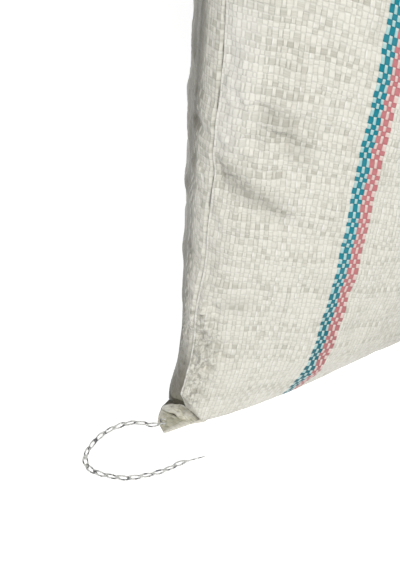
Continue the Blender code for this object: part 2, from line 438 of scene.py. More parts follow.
def band(across, up, place, heading, length, width):
    """One soft ridge, 1 along its middle line and 0 away from it."""
    slope = math.radians(heading)
    along = (across - place[0]) * math.cos(slope) + (up - place[1]) * math.sin(slope)
    aside = -(across - place[0]) * math.sin(slope) + (up - place[1]) * math.cos(slope)
    return np.exp(-(along / length) ** 2 - (aside / width) ** 2)


print("ridges and dents:", len(FRONT_BANDS), "in front and", len(BACK_BANDS), "behind")

# %% [markdown]
# Where the cloth was crushed, near the crease and the lower corner, it keeps crumples like those of paper.
# A wave whose lower half is turned up gives sharp valleys like theirs, and upside down it gives sharp
# ridges. Three sizes of such waves are laid over each other.

# %% Crumples
# where the cloth was crushed: place on the cloth, half width, half height, how strongly
CRUSHED = [
    ((0.0250, 0.2050), 0.0300, 0.0450, 1.00),
    ((0.0070, 0.0620), 0.0150, 0.0400, 2.60),
    ((0.0600, 0.2400), 0.0500, 0.0300, 0.45),
    ((0.4750, 0.1900), 0.0300, 0.0700, 0.80),
]
CRUSHED_EVERYWHERE = 0.22
CRUSHED_MOST = 2.2
CRUMPLE = 0.0013
FINE_SHARE = 0.6
TINY_SHARE = 0.55
TINY_FROM = 0.5
TINY_MOST = 1.6
# how many waves, the shortest and the longest
COARSE_WAVES = (6, 0.016, 0.034)
FINE_WAVES = (6, 0.008, 0.016)
TINY_WAVES = (6, 0.005, 0.010)


def crumples(across, up, seed):
    """Sharp little creases, as in a sheet of paper that was crushed and smoothed again."""
    strength = CRUSHED_EVERYWHERE
    for place, width, height, most in CRUSHED:
        strength = strength + most * band(across, up, place, 0, width, height)
    coarse = np.abs(waves(across, up, seed, *COARSE_WAVES))
    fine = np.abs(waves(across, up * 1.4, seed + 1, *FINE_WAVES))
    tiny = np.abs(waves(across, up, seed + 2, *TINY_WAVES)) * np.clip(strength - TINY_FROM, 0.0, TINY_MOST)
    large = np.clip(strength, 0.0, CRUSHED_MOST) * (0.7 - coarse + FINE_SHARE * fine)
    return CRUMPLE * (large - TINY_SHARE * tiny)


print("crushed patches:", len(CRUSHED))

# %% [markdown]
# The sum of all wrinkles fades to nothing at the creases and the seams, where the two faces have to meet.
# The back stays calmer than the front beside its creases: the photograph shows that strip nearly smooth.

# %% Add up the wrinkles
# how far each kind stands out, its waves, and how far it reaches
SWELL = 0.0009
SWELL_WAVES = (9, 0.07, 0.15)
SWELL_FADES = 0.06
LUMPS = 0.00085
LUMP_WAVES = (16, 0.020, 0.048)
LUMPS_FADE = 0.03
PLEAT_WAVES = (4, 0.02, 0.05)
PUCKER = 0.0008
PUCKER_WAVES = (7, 0.013, 0.030)
PUCKER_REACH = 0.016
GATHER = 0.0014
GATHER_WAVES = (9, 0.022, 0.060)
GATHER_REACH = 0.075
CRUMPLED_BEHIND = 0.3
CRUMPLED_LOW = 0.42
LOW_BELOW = 0.105
LOW_FADES = 0.030
FADE_AT_CREASE = 0.0036
FADE_AT_BASE = 0.05
FADE_AT_TOP = 0.03


def crease_distance(across):
    """How far a point is from the nearer side crease."""
    return np.minimum(across, LAY_FLAT - across)


def wrinkles(across, up, bands, seed, calm):
    """How far out of the smooth shape each point of a face lies. Next to the creases it stays calm."""
    near = crease_distance(across)
    below_seam = SEAM_TO_SEAM - up
    out = SWELL * waves(across, up, seed, *SWELL_WAVES) * ease((near - calm) / SWELL_FADES)
    out += LUMPS * waves(across, up, seed + 1, *LUMP_WAVES) * ease((near - calm * 0.4) / LUMPS_FADE)
    for place, heading, length, width, height in bands:
        out += height * band(across, up, place, heading, length, width)
    for place, length, width, pleat, height in PLEAT_PATCHES:
        inside = band(across, up, place, 0, length, width)
        wander = 3 * waves(across, up, seed + 5, *PLEAT_WAVES)
        out += height * inside * np.sin(math.tau * across / pleat + wander)
    pucker = waves(across * 0.25, up, seed + 2, *PUCKER_WAVES)
    out += PUCKER * pucker * np.exp(-near / PUCKER_REACH) * ease(near / 0.004)
    crumpled = 1.0
    if calm > 0.0:
        low = ease((LOW_BELOW - up) / LOW_FADES)
        crumpled = CRUMPLED_BEHIND + (CRUMPLED_LOW - CRUMPLED_BEHIND) * low
    out += crumpled * crumples(across, up, seed + 6) * ease(near / 0.004)
    gather = waves(across, up * 0.12, seed + 3, *GATHER_WAVES)
    out += GATHER * gather * np.exp(-below_seam / GATHER_REACH) * ease(below_seam / 0.02)
    away_from_seams = ease(up / FADE_AT_BASE) * ease(below_seam / FADE_AT_TOP)
    return out * away_from_seams * ease(near / FADE_AT_CREASE)


dent_depth = wrinkles(np.array([0.02]), np.array([0.17]), FRONT_BANDS, 11, 0.0)
print("in the dent beside the crease: %.1f mm" % (dent_depth[0] * 1000))

# %% [markdown]
# The side crease is where the tube was pressed flat on its reel, and the film keeps that fold. The front
# ends in a small lip there, with a groove behind it, and the line sways a little. Where the photograph
# shows its bends, they are given by height.

# %% The side creases
LIP_REACH = 0.0010
LIP_WIDTH = 0.0016
LIP_WAVES = (5, 0.012, 0.040)
GROOVE_DEPTH = 0.0021
GROOVE_PLACE = 0.0016
GROOVE_WIDTH = 0.0009
LIP_HEIGHTS = np.array([0.0, 0.05, 0.10, 0.17, 0.20, 0.235, 0.27, 0.30, 0.33, 0.60, 0.66, 0.705])
LIP_STRENGTH = np.array([0.0, 0.45, 0.55, 0.60, 1.10, 0.90, 1.00, 0.75, 0.30, 0.45, 0.30, 0.00])
CREASE_SWAY = 0.0008
SWAY_REACH = 0.012
SWAY_WAVES = (6, 0.03, 0.09)
# where the left crease is bent: height on the cloth, and how far towards the middle of the sack
BEND_HEIGHTS = np.array([0.140, 0.1655, 0.176, 0.1835, 0.190, 0.199, 0.207, 0.2235, 0.250])
BENDS = np.array([0.0, 0.0015, 0.0010, 0.0015, 0.0004, -0.0011, -0.0004, 0.0006, 0.0])


def crease_shift(across, up, seed, back):
    """How far the lip, the groove and the sway of the creases move each point along the sack."""
    left = across < LAY_FLAT / 2
    near = crease_distance(across)
    beside = np.exp(-(near / SWAY_REACH) ** 2)
    sway = np.where(left, waves(up, up * 0, seed, *SWAY_WAVES), waves(up, up * 0, seed + 9, *SWAY_WAVES))
    sway = CREASE_SWAY * sway * beside * ease(up / 0.04) * ease((SEAM_TO_SEAM - up) / 0.05)
    sway += smooth_between(BEND_HEIGHTS, BENDS, up) * np.where(left, -1.0, 0.0) * beside
    strength = np.interp(up, LIP_HEIGHTS, LIP_STRENGTH)
    strength = strength * np.clip(0.75 + 0.55 * waves(up, up * 0, seed + 4, *LIP_WAVES), 0.1, 1.3)
    lip = LIP_REACH * strength * np.exp(-(near / LIP_WIDTH) ** 2)
    groove = GROOVE_DEPTH * strength * np.exp(-((near - GROOVE_PLACE) / GROOVE_WIDTH) ** 2) if back else 0.0
    shift = sway + lip - groove
    return np.where(left, -shift, shift)


print("bends of the left crease:", len(BENDS))

# %% [markdown]
# ## The two faces
# Each face is a grid whose lines run with the tapes of the cloth. The grid is finer near the creases, where
# the cloth turns sharply. Each grid keeps its place on the flat cloth as a map called cloth, in metres. The
# woven finish will read that map, so the tapes run round every wrinkle.

# %% Lines of the grid
FINE_STEP = 0.0007
WIDE_STEP = 0.0030
STEP_GROWTH = 1.07
ROW_STEP = 0.0025
SHARP_ROW_STEP = 0.0015
SHARP_ROWS = (0.0125, 0.245)


def columns_across():
    """Distances from the left crease, close together near both creases."""
    half = [0.0]
    step = FINE_STEP
    while half[-1] + step < LAY_FLAT / 2:
        half.append(half[-1] + step)
        step = min(WIDE_STEP, step * STEP_GROWTH)
    half = np.array(half) * (LAY_FLAT / 2) / half[-1]
    return np.concatenate([half, LAY_FLAT - half[-2::-1]])


def rows_up():
    """Heights on the cloth, close together where the sharpest little ridges are."""
    low, high = SHARP_ROWS
    below = np.arange(0.0, low, ROW_STEP)
    sharp = np.arange(low, high, SHARP_ROW_STEP)
    above = np.linspace(high, SEAM_TO_SEAM, int((SEAM_TO_SEAM - high) / ROW_STEP))
    return np.concatenate([below, sharp, above])


def grid_object(name, points, cloth, flip):
    """A mesh object from a grid of points, with its map onto the flat cloth."""
    rows, columns = points.shape[:2]
    index = np.arange(rows * columns).reshape(rows, columns)
    quads = np.stack([index[:-1, :-1], index[:-1, 1:], index[1:, 1:], index[1:, :-1]], axis=-1).reshape(-1, 4)
    if flip:
        quads = quads[:, ::-1]
    mesh = bpy.data.meshes.new(name)
    mesh.from_pydata(points.reshape(-1, 3).tolist(), [], quads.tolist())
    layer = mesh.uv_layers.new(name="cloth")
    corner_points = np.empty(len(mesh.loops), np.int32)
    mesh.loops.foreach_get("vertex_index", corner_points)
    layer.data.foreach_set("uv", cloth.reshape(-1, 2)[corner_points].astype(np.float32).ravel())
    mesh.shade_smooth()
    return put_in_scene(name, mesh)


print("grid:", len(columns_across()), "columns and", len(rows_up()), "rows")

# %% [markdown]
# The front and the back are two objects that share the points of their creases. Each starts as the smooth
# filled shape and is pushed in and out by its folds and wrinkles, and its creases are drawn last.

# %% Build the two faces
CORNER_PLACE = (0.020, 0.013)
CORNER_BULGE = 0.0043
CORNER_SIZE = (0.015, 0.016)
LOWEST = 0.0006
RIPPLE = 0.0022
RIPPLE_WAVES = (5, 0.070, 0.240)
RIPPLE_FROM = 0.610
CREASE_SEED = 40


def outward(points):
    """The direction straight out of a front grid at each of its points."""
    normal = np.cross(np.gradient(points, axis=1), np.gradient(points, axis=0))
    return normal / np.maximum(np.linalg.norm(normal, axis=-1, keepdims=True), 1e-12)


def top_ripple(across):
    """How far the top hem weaves to the front and to the back along its length."""
    return RIPPLE * waves(across, across * 0, 61, *RIPPLE_WAVES)


def build_face(name, folds, bands, seed, back, calm):
    """One face of the sack, with its folds and wrinkles. The back also bulges behind its left ear."""
    across, up = np.meshgrid(columns_across(), rows_up())
    near = crease_distance(across)
    points = blunt_corners(filled_sack(across, up))
    relief = wrinkles(across, up, bands, seed, calm)
    relief += fold_relief(points[..., 0], points[..., 2], folds) * ease(near / FOLDS_START)
    if back:
        relief += CORNER_BULGE * band(across, up, CORNER_PLACE, 90, *CORNER_SIZE) * ease(near / 0.010)
    points += outward(points) * relief[..., None]
    points[..., 0] += crease_shift(across, up, CREASE_SEED, back)
    points[..., 2] = np.maximum(points[..., 2], LOWEST)
    points[..., 1] = np.where(near <= 0, 0.0, points[..., 1])
    round_tube = across
    if back:
        points[..., 1] *= -1
        round_tube = 2 * LAY_FLAT - across
    points[..., 1] += top_ripple(across) * ease((up - RIPPLE_FROM) / (SEAM_TO_SEAM - RIPPLE_FROM))
    return grid_object(name, points, np.stack([round_tube, up], axis=-1), back)


front_face = build_face("sack_front", FRONT_FOLDS, FRONT_BANDS, 11, False, 0.0)
back_face = build_face("sack_back", BACK_FOLDS, BACK_BANDS, 23, True, 0.060)
print("faces of the front:", len(front_face.data.polygons))

# %% [markdown]
# ## The top hem
# At the top the cloth is folded down over the front and sewn through, a strip 22 mm deep that stands up by
# itself. Its profile is a narrow hairpin: from the raw edge of the flap up the front, over the fold and
# down the back. The strip is that profile carried along the seam, and it takes the same gentle ripple as
# the cloth under it.

# %% Fold the top hem
HEM_COLUMNS = 240
HEM_SPREAD = 0.998
HEM_EDGE = 0.0006
EDGE_WAVES = (8, 0.006, 0.030)
HEM_SWELL = 0.0003
HEM_SWELL_WAVES = (8, 0.02, 0.06)
TOP_HEM_PROFILE = [
    # out from the middle plane, above the seam, how far up the cloth
    (-0.00250, -0.0016, 0.0440),
    (-0.00265, 0.0012, 0.0415),
    (-0.00235, 0.0050, 0.0380),
    (-0.00205, 0.0080, 0.0350),
    (-0.00235, 0.0120, 0.0310),
    (-0.00255, 0.0170, 0.0260),
    (-0.00190, 0.0206, 0.0225),
    (0.00000, 0.0220, 0.0205),
    (0.00190, 0.0206, 0.0190),
    (0.00245, 0.0165, 0.0150),
    (0.00220, 0.0120, 0.0110),
    (0.00200, 0.0080, 0.0075),
    (0.00225, 0.0040, 0.0035),
    (0.00205, 0.0000, 0.0000),
    (0.00160, -0.0030, -0.0030),
]


def hem_place(across):
    """Where the top seam lies at a distance from the left end: x, y and z."""
    x = (across - LAY_FLAT / 2) * HEM_SPREAD
    return x, top_ripple(across), cloth_height(across, np.full_like(across, SEAM_TO_SEAM))


def fold_top_hem():
    """The folded strip along the top. The raw edge of its flap is the loosest part."""
    across = np.linspace(0.0, LAY_FLAT, HEM_COLUMNS)
    x, y, z = hem_place(across)
    edge = HEM_EDGE * waves(across, across * 0, 71, *EDGE_WAVES)
    points = []
    cloth = []
    for count, (out, above, up) in enumerate(TOP_HEM_PROFILE):
        loose = 0.4 + max(0.0, 1 - count / 2)
        swell = HEM_SWELL * np.abs(waves(across, across * 0 + up, 72, *HEM_SWELL_WAVES))
        swell = -swell if out < 0 else swell
        points.append(np.stack([x, y + out + swell, z + above + edge * loose], axis=-1))
        cloth.append(np.stack([across, np.full_like(across, SEAM_TO_SEAM + up)], axis=-1))
    return grid_object("top_hem", np.array(points), np.array(cloth), False)


top_hem = fold_top_hem()
print("top hem reaches", round(max(v.co.z for v in top_hem.data.vertices), 3))

# %% [markdown]
# ## The ends of the bottom hem
# The bottom hem is the same kind of strip, but the filled body has come down on it and pressed it flat. All
# that shows of it are its two ends, which stick out from under the side creases like ears. In the
# photograph the ear has two layers. The lower one lies on the floor. The upper one slopes down from the
# crease and ends in a rolled edge, with a thin shadow below it.
#
# Each layer runs between two lines. They are written down first, as they were measured in the photograph.

# %% Lines of the two ears
EAR_BACK_EDGE = [
    (-0.2050, 0.0130), (-0.2285, 0.0171), (-0.2368, 0.0163), (-0.2430, 0.0132), (-0.2478, 0.0095),
]
EAR_FRONT_EDGE = [
    (-0.2050, -0.0130), (-0.2265, -0.0136), (-0.2338, -0.0082), (-0.2435, -0.0042), (-0.2521, -0.0006),
]
EAR_LAYER_THICKNESS = 0.0024
FLAP_TOP_LINE = [
    (-0.2372, 0.0147, 0.0040),
    (-0.2334, 0.0099, 0.0060),
    (-0.2309, 0.0040, 0.0090),
    (-0.2304, -0.0040, 0.0078),
    (-0.2295, -0.0110, 0.0036),
]
FLAP_ROLLED_EDGE = [
    (-0.2386, 0.0143, 0.0034),
    (-0.2380, 0.0097, 0.0045),
    (-0.2373, 0.0048, 0.0052),
    (-0.2361, -0.0036, 0.0050),
    (-0.2339, -0.0088, 0.0038),
]
ROLL_RADIUS = 0.0012
UNDER_ROLL = 0.020
EAR_BACK_UP = 0.003
EAR_DEPTH = 0.022


def lengths_along(line):
    """Length along a line of points, from its first point."""
    return np.concatenate([[0.0], np.cumsum(np.linalg.norm(np.diff(line, axis=0), axis=1))])


def even_line(points, count):
    """Evenly spread points on straight lines through the given ones."""
    points = np.array(points, float)
    along = lengths_along(points)
    even = np.linspace(0, along[-1], count)
    return np.stack([np.interp(even, along, column) for column in points.T], axis=-1)


def even_curve(points, count):
    """Evenly spread points on a smooth curve through a few given ones."""
    points = np.array(points, float)
    fine = np.linspace(0, len(points) - 1, 400)
    place = np.arange(len(points), dtype=float)
    return even_line(np.stack([smooth_between(place, column, fine) for column in points.T], axis=-1), count)


print("the rolled edge is", round(lengths_along(np.array(FLAP_ROLLED_EDGE))[-1] * 1000, 1), "mm long")

# %% [markdown]
# The lower layer is a flattened tube between its back and its front edge, closed at the tip. A tube keeps
# the thickness of the folded cloth, which a flat sheet would not have.

# %% Make the lower layer
EAR_STEPS = 26
EAR_AROUND = 28
EAR_TIP_CLOSING = (0.9, 0.62, 0.02)
EAR_GAP = 0.0003
EAR_LUMPS = 0.0004
EAR_LUMP_WAVES = (6, 0.008, 0.02)


def ear_object(name, points, cloth, right, flip):
    """One layer of an ear. The right one is the left one mirrored."""
    if right:
        points[..., 0] *= -1
        cloth[..., 0] = LAY_FLAT - cloth[..., 0]
    return grid_object(name, points, cloth, flip)


def ear_lower_layer(name, right):
    """The layer that lies on the floor: a flattened tube between the two edges of the hem."""
    back = even_line(EAR_BACK_EDGE, EAR_STEPS)
    front = even_line(EAR_FRONT_EDGE, EAR_STEPS)
    points = np.zeros((EAR_AROUND, EAR_STEPS, 3))
    cloth = np.zeros((EAR_AROUND, EAR_STEPS, 2))
    closing = np.ones(EAR_STEPS)
    closing[-3:] = EAR_TIP_CLOSING
    roll_x, roll_y = np.array(FLAP_ROLLED_EDGE)[::-1, :2].T
    for k, angle in enumerate(np.linspace(0, math.tau, EAR_AROUND)):
        side = 0.5 - 0.5 * math.cos(angle)
        flat = back * (1 - side) + front * side
        bulge = math.copysign(abs(math.sin(angle)) ** 0.4, math.sin(angle))
        thick = EAR_LAYER_THICKNESS / 2 * bulge * closing
        lift = EAR_LUMPS * np.abs(waves(flat[:, 0], flat[:, 1], 81, *EAR_LUMP_WAVES))
        points[k, :, :2] = flat
        points[k, :, 2] = EAR_LAYER_THICKNESS / 2 + EAR_GAP + thick + np.where(thick > 0, lift, 0)
        cloth[k, :, 0] = UNDER_ROLL + np.interp(flat[:, 1], roll_y, roll_x) - flat[:, 0]
        cloth[k, :, 1] = EAR_BACK_UP - EAR_DEPTH * side
    return ear_object(name, points, cloth, right, right)


print("points round the tube:", EAR_AROUND)

# %% [markdown]
# The upper layer is a strip from its top line down to its rolled edge, which ends in a small curl. The
# photograph shows it crushed, so it has dents and crumples of its own. The right ear is the left one in
# the mirror.

# %% Make the upper layer
FLAP_STEPS = 40
FLAP_SHARES = (0.12, 0.25, 0.38, 0.5, 0.62, 0.75, 0.86, 0.94)
ROLL_ANGLES = (20, 70, 120, 170, 230, 290)
TUCKED_IN = np.array([0.0040, 0.0, 0.0012])
FLAP_DENT = 0.0011
FLAP_DENT_WAVES = (6, 0.006, 0.016)
FLAP_CRUSH = 0.0008
FLAP_CRUSH_WAVES = (6, 0.005, 0.011)


def ear_upper_layer(name, right):
    """The layer that slopes down from the crease, with its rolled edge."""
    top = even_curve(FLAP_TOP_LINE, FLAP_STEPS)
    low = even_curve(FLAP_ROLLED_EDGE, FLAP_STEPS)
    rows = [top + TUCKED_IN, top]
    rows += [top * (1 - share) + low * share for share in FLAP_SHARES]
    for turn in np.radians(ROLL_ANGLES):
        rows.append(low + ROLL_RADIUS * np.array([-math.sin(turn), 0.0, math.cos(turn) - 1]))
    points = np.array(rows)
    down = np.linspace(0.0, 0.012, len(rows))[:, None]
    dent = FLAP_DENT * waves(points[..., 1] + down, down, 83, *FLAP_DENT_WAVES)
    crush = np.abs(waves(points[..., 1], down * 2, 84, *FLAP_CRUSH_WAVES))
    points[2:, :, 0] += dent[2:]
    points[2:, :, 2] += FLAP_CRUSH * (0.8 - crush[2:]) * np.sin(math.pi * np.linspace(0, 1, FLAP_STEPS))
    cloth = np.zeros(points.shape[:2] + (2,))
    cloth[..., 0] = points[..., 1] * 0.5 + 0.018
    cloth[..., 1] = np.linspace(0.0, -0.016, len(rows))[:, None]
    return ear_object(name, points, cloth, right, not right)


ears = []
for name, right in (("bottom_hem_left", False), ("bottom_hem_right", True)):
    ears.append(ear_lower_layer(name + "_lower", right))
    ears.append(ear_upper_layer(name + "_upper", right))
print("ears:", [ear.name for ear in ears])

# %% [markdown]
# ## The sewing thread
# A sack like this is closed with a chain stitch, one white thread that is looped through itself. Where the
# machine runs off the end of the hem it goes on knitting the chain on nothing, and that tail of empty
# loops lies on the floor. Everything here is made of one round strand that is bent along a path.

# %% Tubes of thread
STRAND_RADIUS = 0.00052
STRAND_SIDES = 7


def tube_mesh(path, radii, closed):
    """Points and faces of a round tube along a path."""
    path = np.array(path)
    radii = np.broadcast_to(np.array(radii, float), (len(path),))
    count = len(path)
    tangent = np.roll(path, -1, axis=0) - np.roll(path, 1, axis=0) if closed else np.gradient(path, axis=0)
    tangent = tangent / np.linalg.norm(tangent, axis=1, keepdims=True)
    side = np.cross(tangent, (0.0, 0.0, 1.0))
    weak = np.linalg.norm(side, axis=1) < 1e-3
    side[weak] = np.cross(tangent[weak], (0.0, 1.0, 0.0))
    side = side / np.linalg.norm(side, axis=1, keepdims=True)
    lift = np.cross(side, tangent)
    turn = np.linspace(0, math.tau, STRAND_SIDES, endpoint=False)
    ring = side[:, None] * np.cos(turn)[None, :, None] + lift[:, None] * np.sin(turn)[None, :, None]
    points = path[:, None] + ring * radii[:, None, None]
    faces = []
    for row in range(count if closed else count - 1):
        here, above = row * STRAND_SIDES, (row + 1) % count * STRAND_SIDES
        for k in range(STRAND_SIDES):
            beside = (k + 1) % STRAND_SIDES
            faces.append((here + k, above + k, above + beside, here + beside))
    if not closed:
        faces.append(tuple(range(STRAND_SIDES)))
        faces.append(tuple(reversed(range((count - 1) * STRAND_SIDES, count * STRAND_SIDES))))
    return points.reshape(-1, 3).tolist(), faces


def thread_object(name, parts):
    """One mesh object from several tubes."""
    points = []
    faces = []
    for some_points, some_faces in parts:
        start = len(points)
        points.extend(some_points)
        faces.extend(tuple(start + corner for corner in face) for face in some_faces)
    mesh = bpy.data.meshes.new(name)
    mesh.from_pydata(points, [], faces)
    mesh.shade_smooth()
    return put_in_scene(name, mesh)


print("a strand is", 2000 * STRAND_RADIUS, "mm thick")

# %% [markdown]
# Each link is a long loop whose front end sits low, under the back end of the next one, so a row of them
# reads as a chain and not as a cord. The same link, laid closer, makes the stitches along the top hem.

# %% Chain links
LINK_STEPS = 22
LINK_RISE = 1.15


def chain_links(route, link_length, half_width, overlap, sit, dice):
    """Loops along a route. Each has its front end low and its back end on top of the one before."""
    along = lengths_along(route)
    reach = link_length * (1 + overlap)
    turn = np.linspace(0, math.tau, LINK_STEPS, endpoint=False)

    def on_route(place):
        return np.stack([np.interp(place, along, column) for column in route.T], axis=-1)

    parts = []
    start = 0.0
    while start + reach <= along[-1]:
        place = start + reach * (0.5 - 0.5 * np.cos(turn))
        tangent = on_route(place + 1e-4) - on_route(place - 1e-4)
        side = np.cross(tangent / np.linalg.norm(tangent, axis=1, keepdims=True), sit)
        width = half_width * dice.uniform(0.8, 1.15)
        lean = dice.uniform(-0.15, 0.15) * width
        share = (place - start) / reach
        pear = 0.55 + 0.45 * np.sin(math.pi * share ** 0.7)
        loop = on_route(place) + side * (np.sin(turn) * width * pear + lean)[:, None]
        rise = STRAND_RADIUS * LINK_RISE * (1 - 2 * share)
        parts.append(tube_mesh(loop + np.array(sit) * rise[:, None], STRAND_RADIUS, True))
        start += link_length * dice.uniform(0.94, 1.06)
    return parts, start


print("one link has", LINK_STEPS * STRAND_SIDES, "faces")

# %% [markdown]
# ## The loose tail
# The tail leaves the end of the hem, sweeps out to the left over the floor and comes back below the corner
# of the sack. The solid of it is a plain round cord, so the route is the same here point for point. The
# last centimetre has come unknitted and is a single bare strand.

# %% Lay the tail on the floor
THREAD_DIAMETER = 0.0030
TAIL_START_HEIGHT = 0.0023
TAIL_HEIGHT = THREAD_DIAMETER / 2 + 0.0003
TAIL_ROUTE = [
    (-0.2496, 0.0060),
    (-0.2532, 0.0105),
    (-0.2562, 0.0165),
    (-0.2625, 0.0228),
    (-0.2743, 0.0271),
    (-0.2842, 0.0280),
    (-0.2940, 0.0258),
    (-0.3010, 0.0215),
    (-0.3042, 0.0150),
    (-0.3036, 0.0080),
    (-0.3005, 0.0010),
    (-0.2944, -0.0080),
    (-0.2872, -0.0140),
    (-0.2790, -0.0193),
    (-0.2700, -0.0230),
    (-0.2574, -0.0273),
    (-0.2467, -0.0330),
]
ROUTE_STEPS = 400
TAIL_LINK = 0.0076
TAIL_HALF_WIDTH = 0.00135
TAIL_OVERLAP = 0.28
BARE_END = 0.012
BARE_OVERLAP = 0.002

tail_points = [(x, y, TAIL_START_HEIGHT if k == 0 else TAIL_HEIGHT) for k, (x, y) in enumerate(TAIL_ROUTE)]
tail_route = even_curve(tail_points, ROUTE_STEPS)
tail_length = float(np.linalg.norm(np.diff(tail_route, axis=0), axis=1).sum())
knitted = tail_route[: int(ROUTE_STEPS * (1 - BARE_END / tail_length))]
links, used = chain_links(knitted, TAIL_LINK, TAIL_HALF_WIDTH, TAIL_OVERLAP,
                          (0.0, 0.0, 1.0), np.random.default_rng(5))
bare = tail_route[int(ROUTE_STEPS * (used - BARE_OVERLAP) / tail_length)::3].copy()
bare[:, 2] = STRAND_RADIUS * 1.3
links.append(tube_mesh(bare, np.linspace(STRAND_RADIUS, STRAND_RADIUS * 0.7, len(bare)), False))
thread_tail = thread_object("thread_tail_chain", links)
tail_path = [tuple(float(value) for value in point) for point in even_curve(tail_points, 40)]
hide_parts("thread_tail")
print("tail:", round(tail_length, 4), "m,", len(links), "loops")

# %% [markdown]
# ## The stitches on the hems
# Along the top hem the chain shows on the front, and the straight stitches between its needle holes show
# on the back. On the ear only a few dark dashes are left of the row, because the thread sinks between the
# tapes, and one white loop where the tail begins.

# %% Stitch the hems
STITCH_ABOVE_SEAM = 0.008
STITCH_FROM_END = 0.010
STITCH_OUT = 0.0029
TOP_STITCH = 0.0080
STITCH_HALF_WIDTH = 0.0010
STITCH_OVERLAP = 0.25
STITCH_GAP = 0.0010
STITCH_DIP = 0.0009


def top_stitch_line(side):
    """The line that a row of stitches follows along the top hem."""
    x, y, z = hem_place(np.linspace(STITCH_FROM_END, LAY_FLAT - STITCH_FROM_END, 300))
    return np.stack([x, y + side * STITCH_OUT, z + STITCH_ABOVE_SEAM], axis=-1)


def straight_stitches(line, length, gap):
    """Short strands that dip into the cloth at both ends."""
    reach = np.linalg.norm(line[-1] - line[0])
    parts = []
    for k in range(int(reach / length)):
        first = int(len(line) * (k * length + gap / 2) / reach)
        last = int(len(line) * ((k + 1) * length - gap / 2) / reach)
        piece = line[first:last + 1].copy()
        piece[:, 1] -= STITCH_DIP * (1 - np.sin(math.pi * np.linspace(0, 1, len(piece))) ** 0.35)
        parts.append(tube_mesh(piece, STRAND_RADIUS * 1.15, False))
    return parts


front_chain, _ = chain_links(top_stitch_line(-1), TOP_STITCH, STITCH_HALF_WIDTH, STITCH_OVERLAP,
                             (0.0, -1.0, 0.0), np.random.default_rng(6))
top_stitching_front = thread_object("top_chain_stitches", front_chain)
back_stitches = straight_stitches(top_stitch_line(1), TOP_STITCH, STITCH_GAP)
top_stitching_back = thread_object("top_straight_stitches", back_stitches)
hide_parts("top_stitching_front")
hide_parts("top_stitching_back")

EAR_LOOP = [
    (-0.2436, 0.0060, 0.0028),
    (-0.2460, 0.0078, 0.0036),
    (-0.2476, 0.0064, 0.0040),
    (-0.2478, 0.0042, 0.0036),
    (-0.2462, 0.0036, 0.0030),
    (-0.2486, 0.0052, 0.0034),
    (-0.2500, 0.0066, 0.0026),
]
ear_loop = thread_object("hem_end_loop", [tube_mesh(even_curve(EAR_LOOP, 40), STRAND_RADIUS, False)])
print("stitches on the front:", len(front_chain), "and on the back:", len(back_stitches))

# %% [markdown]
# ## The woven finish
# The tapes are split from a plastic film, so they are flat, smooth and a little see-through, and no two
# have quite the same tone. The finish is drawn from the map called cloth. Counting tape widths across and
# up gives every tape a number, and whether the two numbers add up to an even or an odd one says which tape
# lies on top. The cross tapes come in four widths that repeat, as they do in the photograph, because the
# loom has four shuttles and each carries its own reel.
#
# The nodes are many, so two small classes keep the recipe short. The first stands for a value that runs
# along a wire. Python's own signs work on it, and each adds the Math node that does the sum, so the recipe
# reads like arithmetic.

# %% A value on a wire
class Wire:
    """A value on its way from one node to the next."""

    def __init__(self, finish, socket):
        self.finish = finish
        self.socket = socket

    def sum(self, kind, *others):
        """A Math node that starts from this value."""
        return self.finish.add("Math", (self, *others), operation=kind)

    def __rsub__(self, other):
        """A plain value less this one."""
        return self.finish.add("Math", (other, self), operation="SUBTRACT")

    def __abs__(self):
        """This value without its minus sign."""
        return self.sum("ABSOLUTE")

    def between(self, low, high, at_low, at_high):
        """Goes smoothly from one value to another, while this one goes from low to high."""
        values = (self, low, high, at_low, at_high)
        return self.finish.add("MapRange", values, interpolation_type="SMOOTHSTEP")

    def rises(self, low, high):
        """Goes smoothly from 0 to 1, while this one goes from low to high."""
        return self.between(low, high, 0.0, 1.0)

    def falls(self, low, high):
        """Goes smoothly from 1 to 0, while this one goes from low to high."""
        return self.between(low, high, 1.0, 0.0)


# each sign or word that stands between two values, and the Math node that it adds
SUMS = {
    "__add__": "ADD", "__radd__": "ADD", "__sub__": "SUBTRACT", "__mul__": "MULTIPLY", "__rmul__": "MULTIPLY",
    "__truediv__": "DIVIDE", "__mod__": "MODULO", "__gt__": "GREATER_THAN", "__lt__": "LESS_THAN",
    "more": "MAXIMUM", "less": "MINIMUM",
}
for sign, kind in SUMS.items():
    setattr(Wire, sign, lambda self, other, kind=kind: self.sum(kind, other))
print("sums that a wire can do:", len(SUMS))

# %% [markdown]
# The second class holds the material. It knows how to add each kind of node that the two finishes need: a
# mix of two colours, soft noise, noise that is longer one way than the other, and plain random numbers. It
# also makes the last connections to the shader.

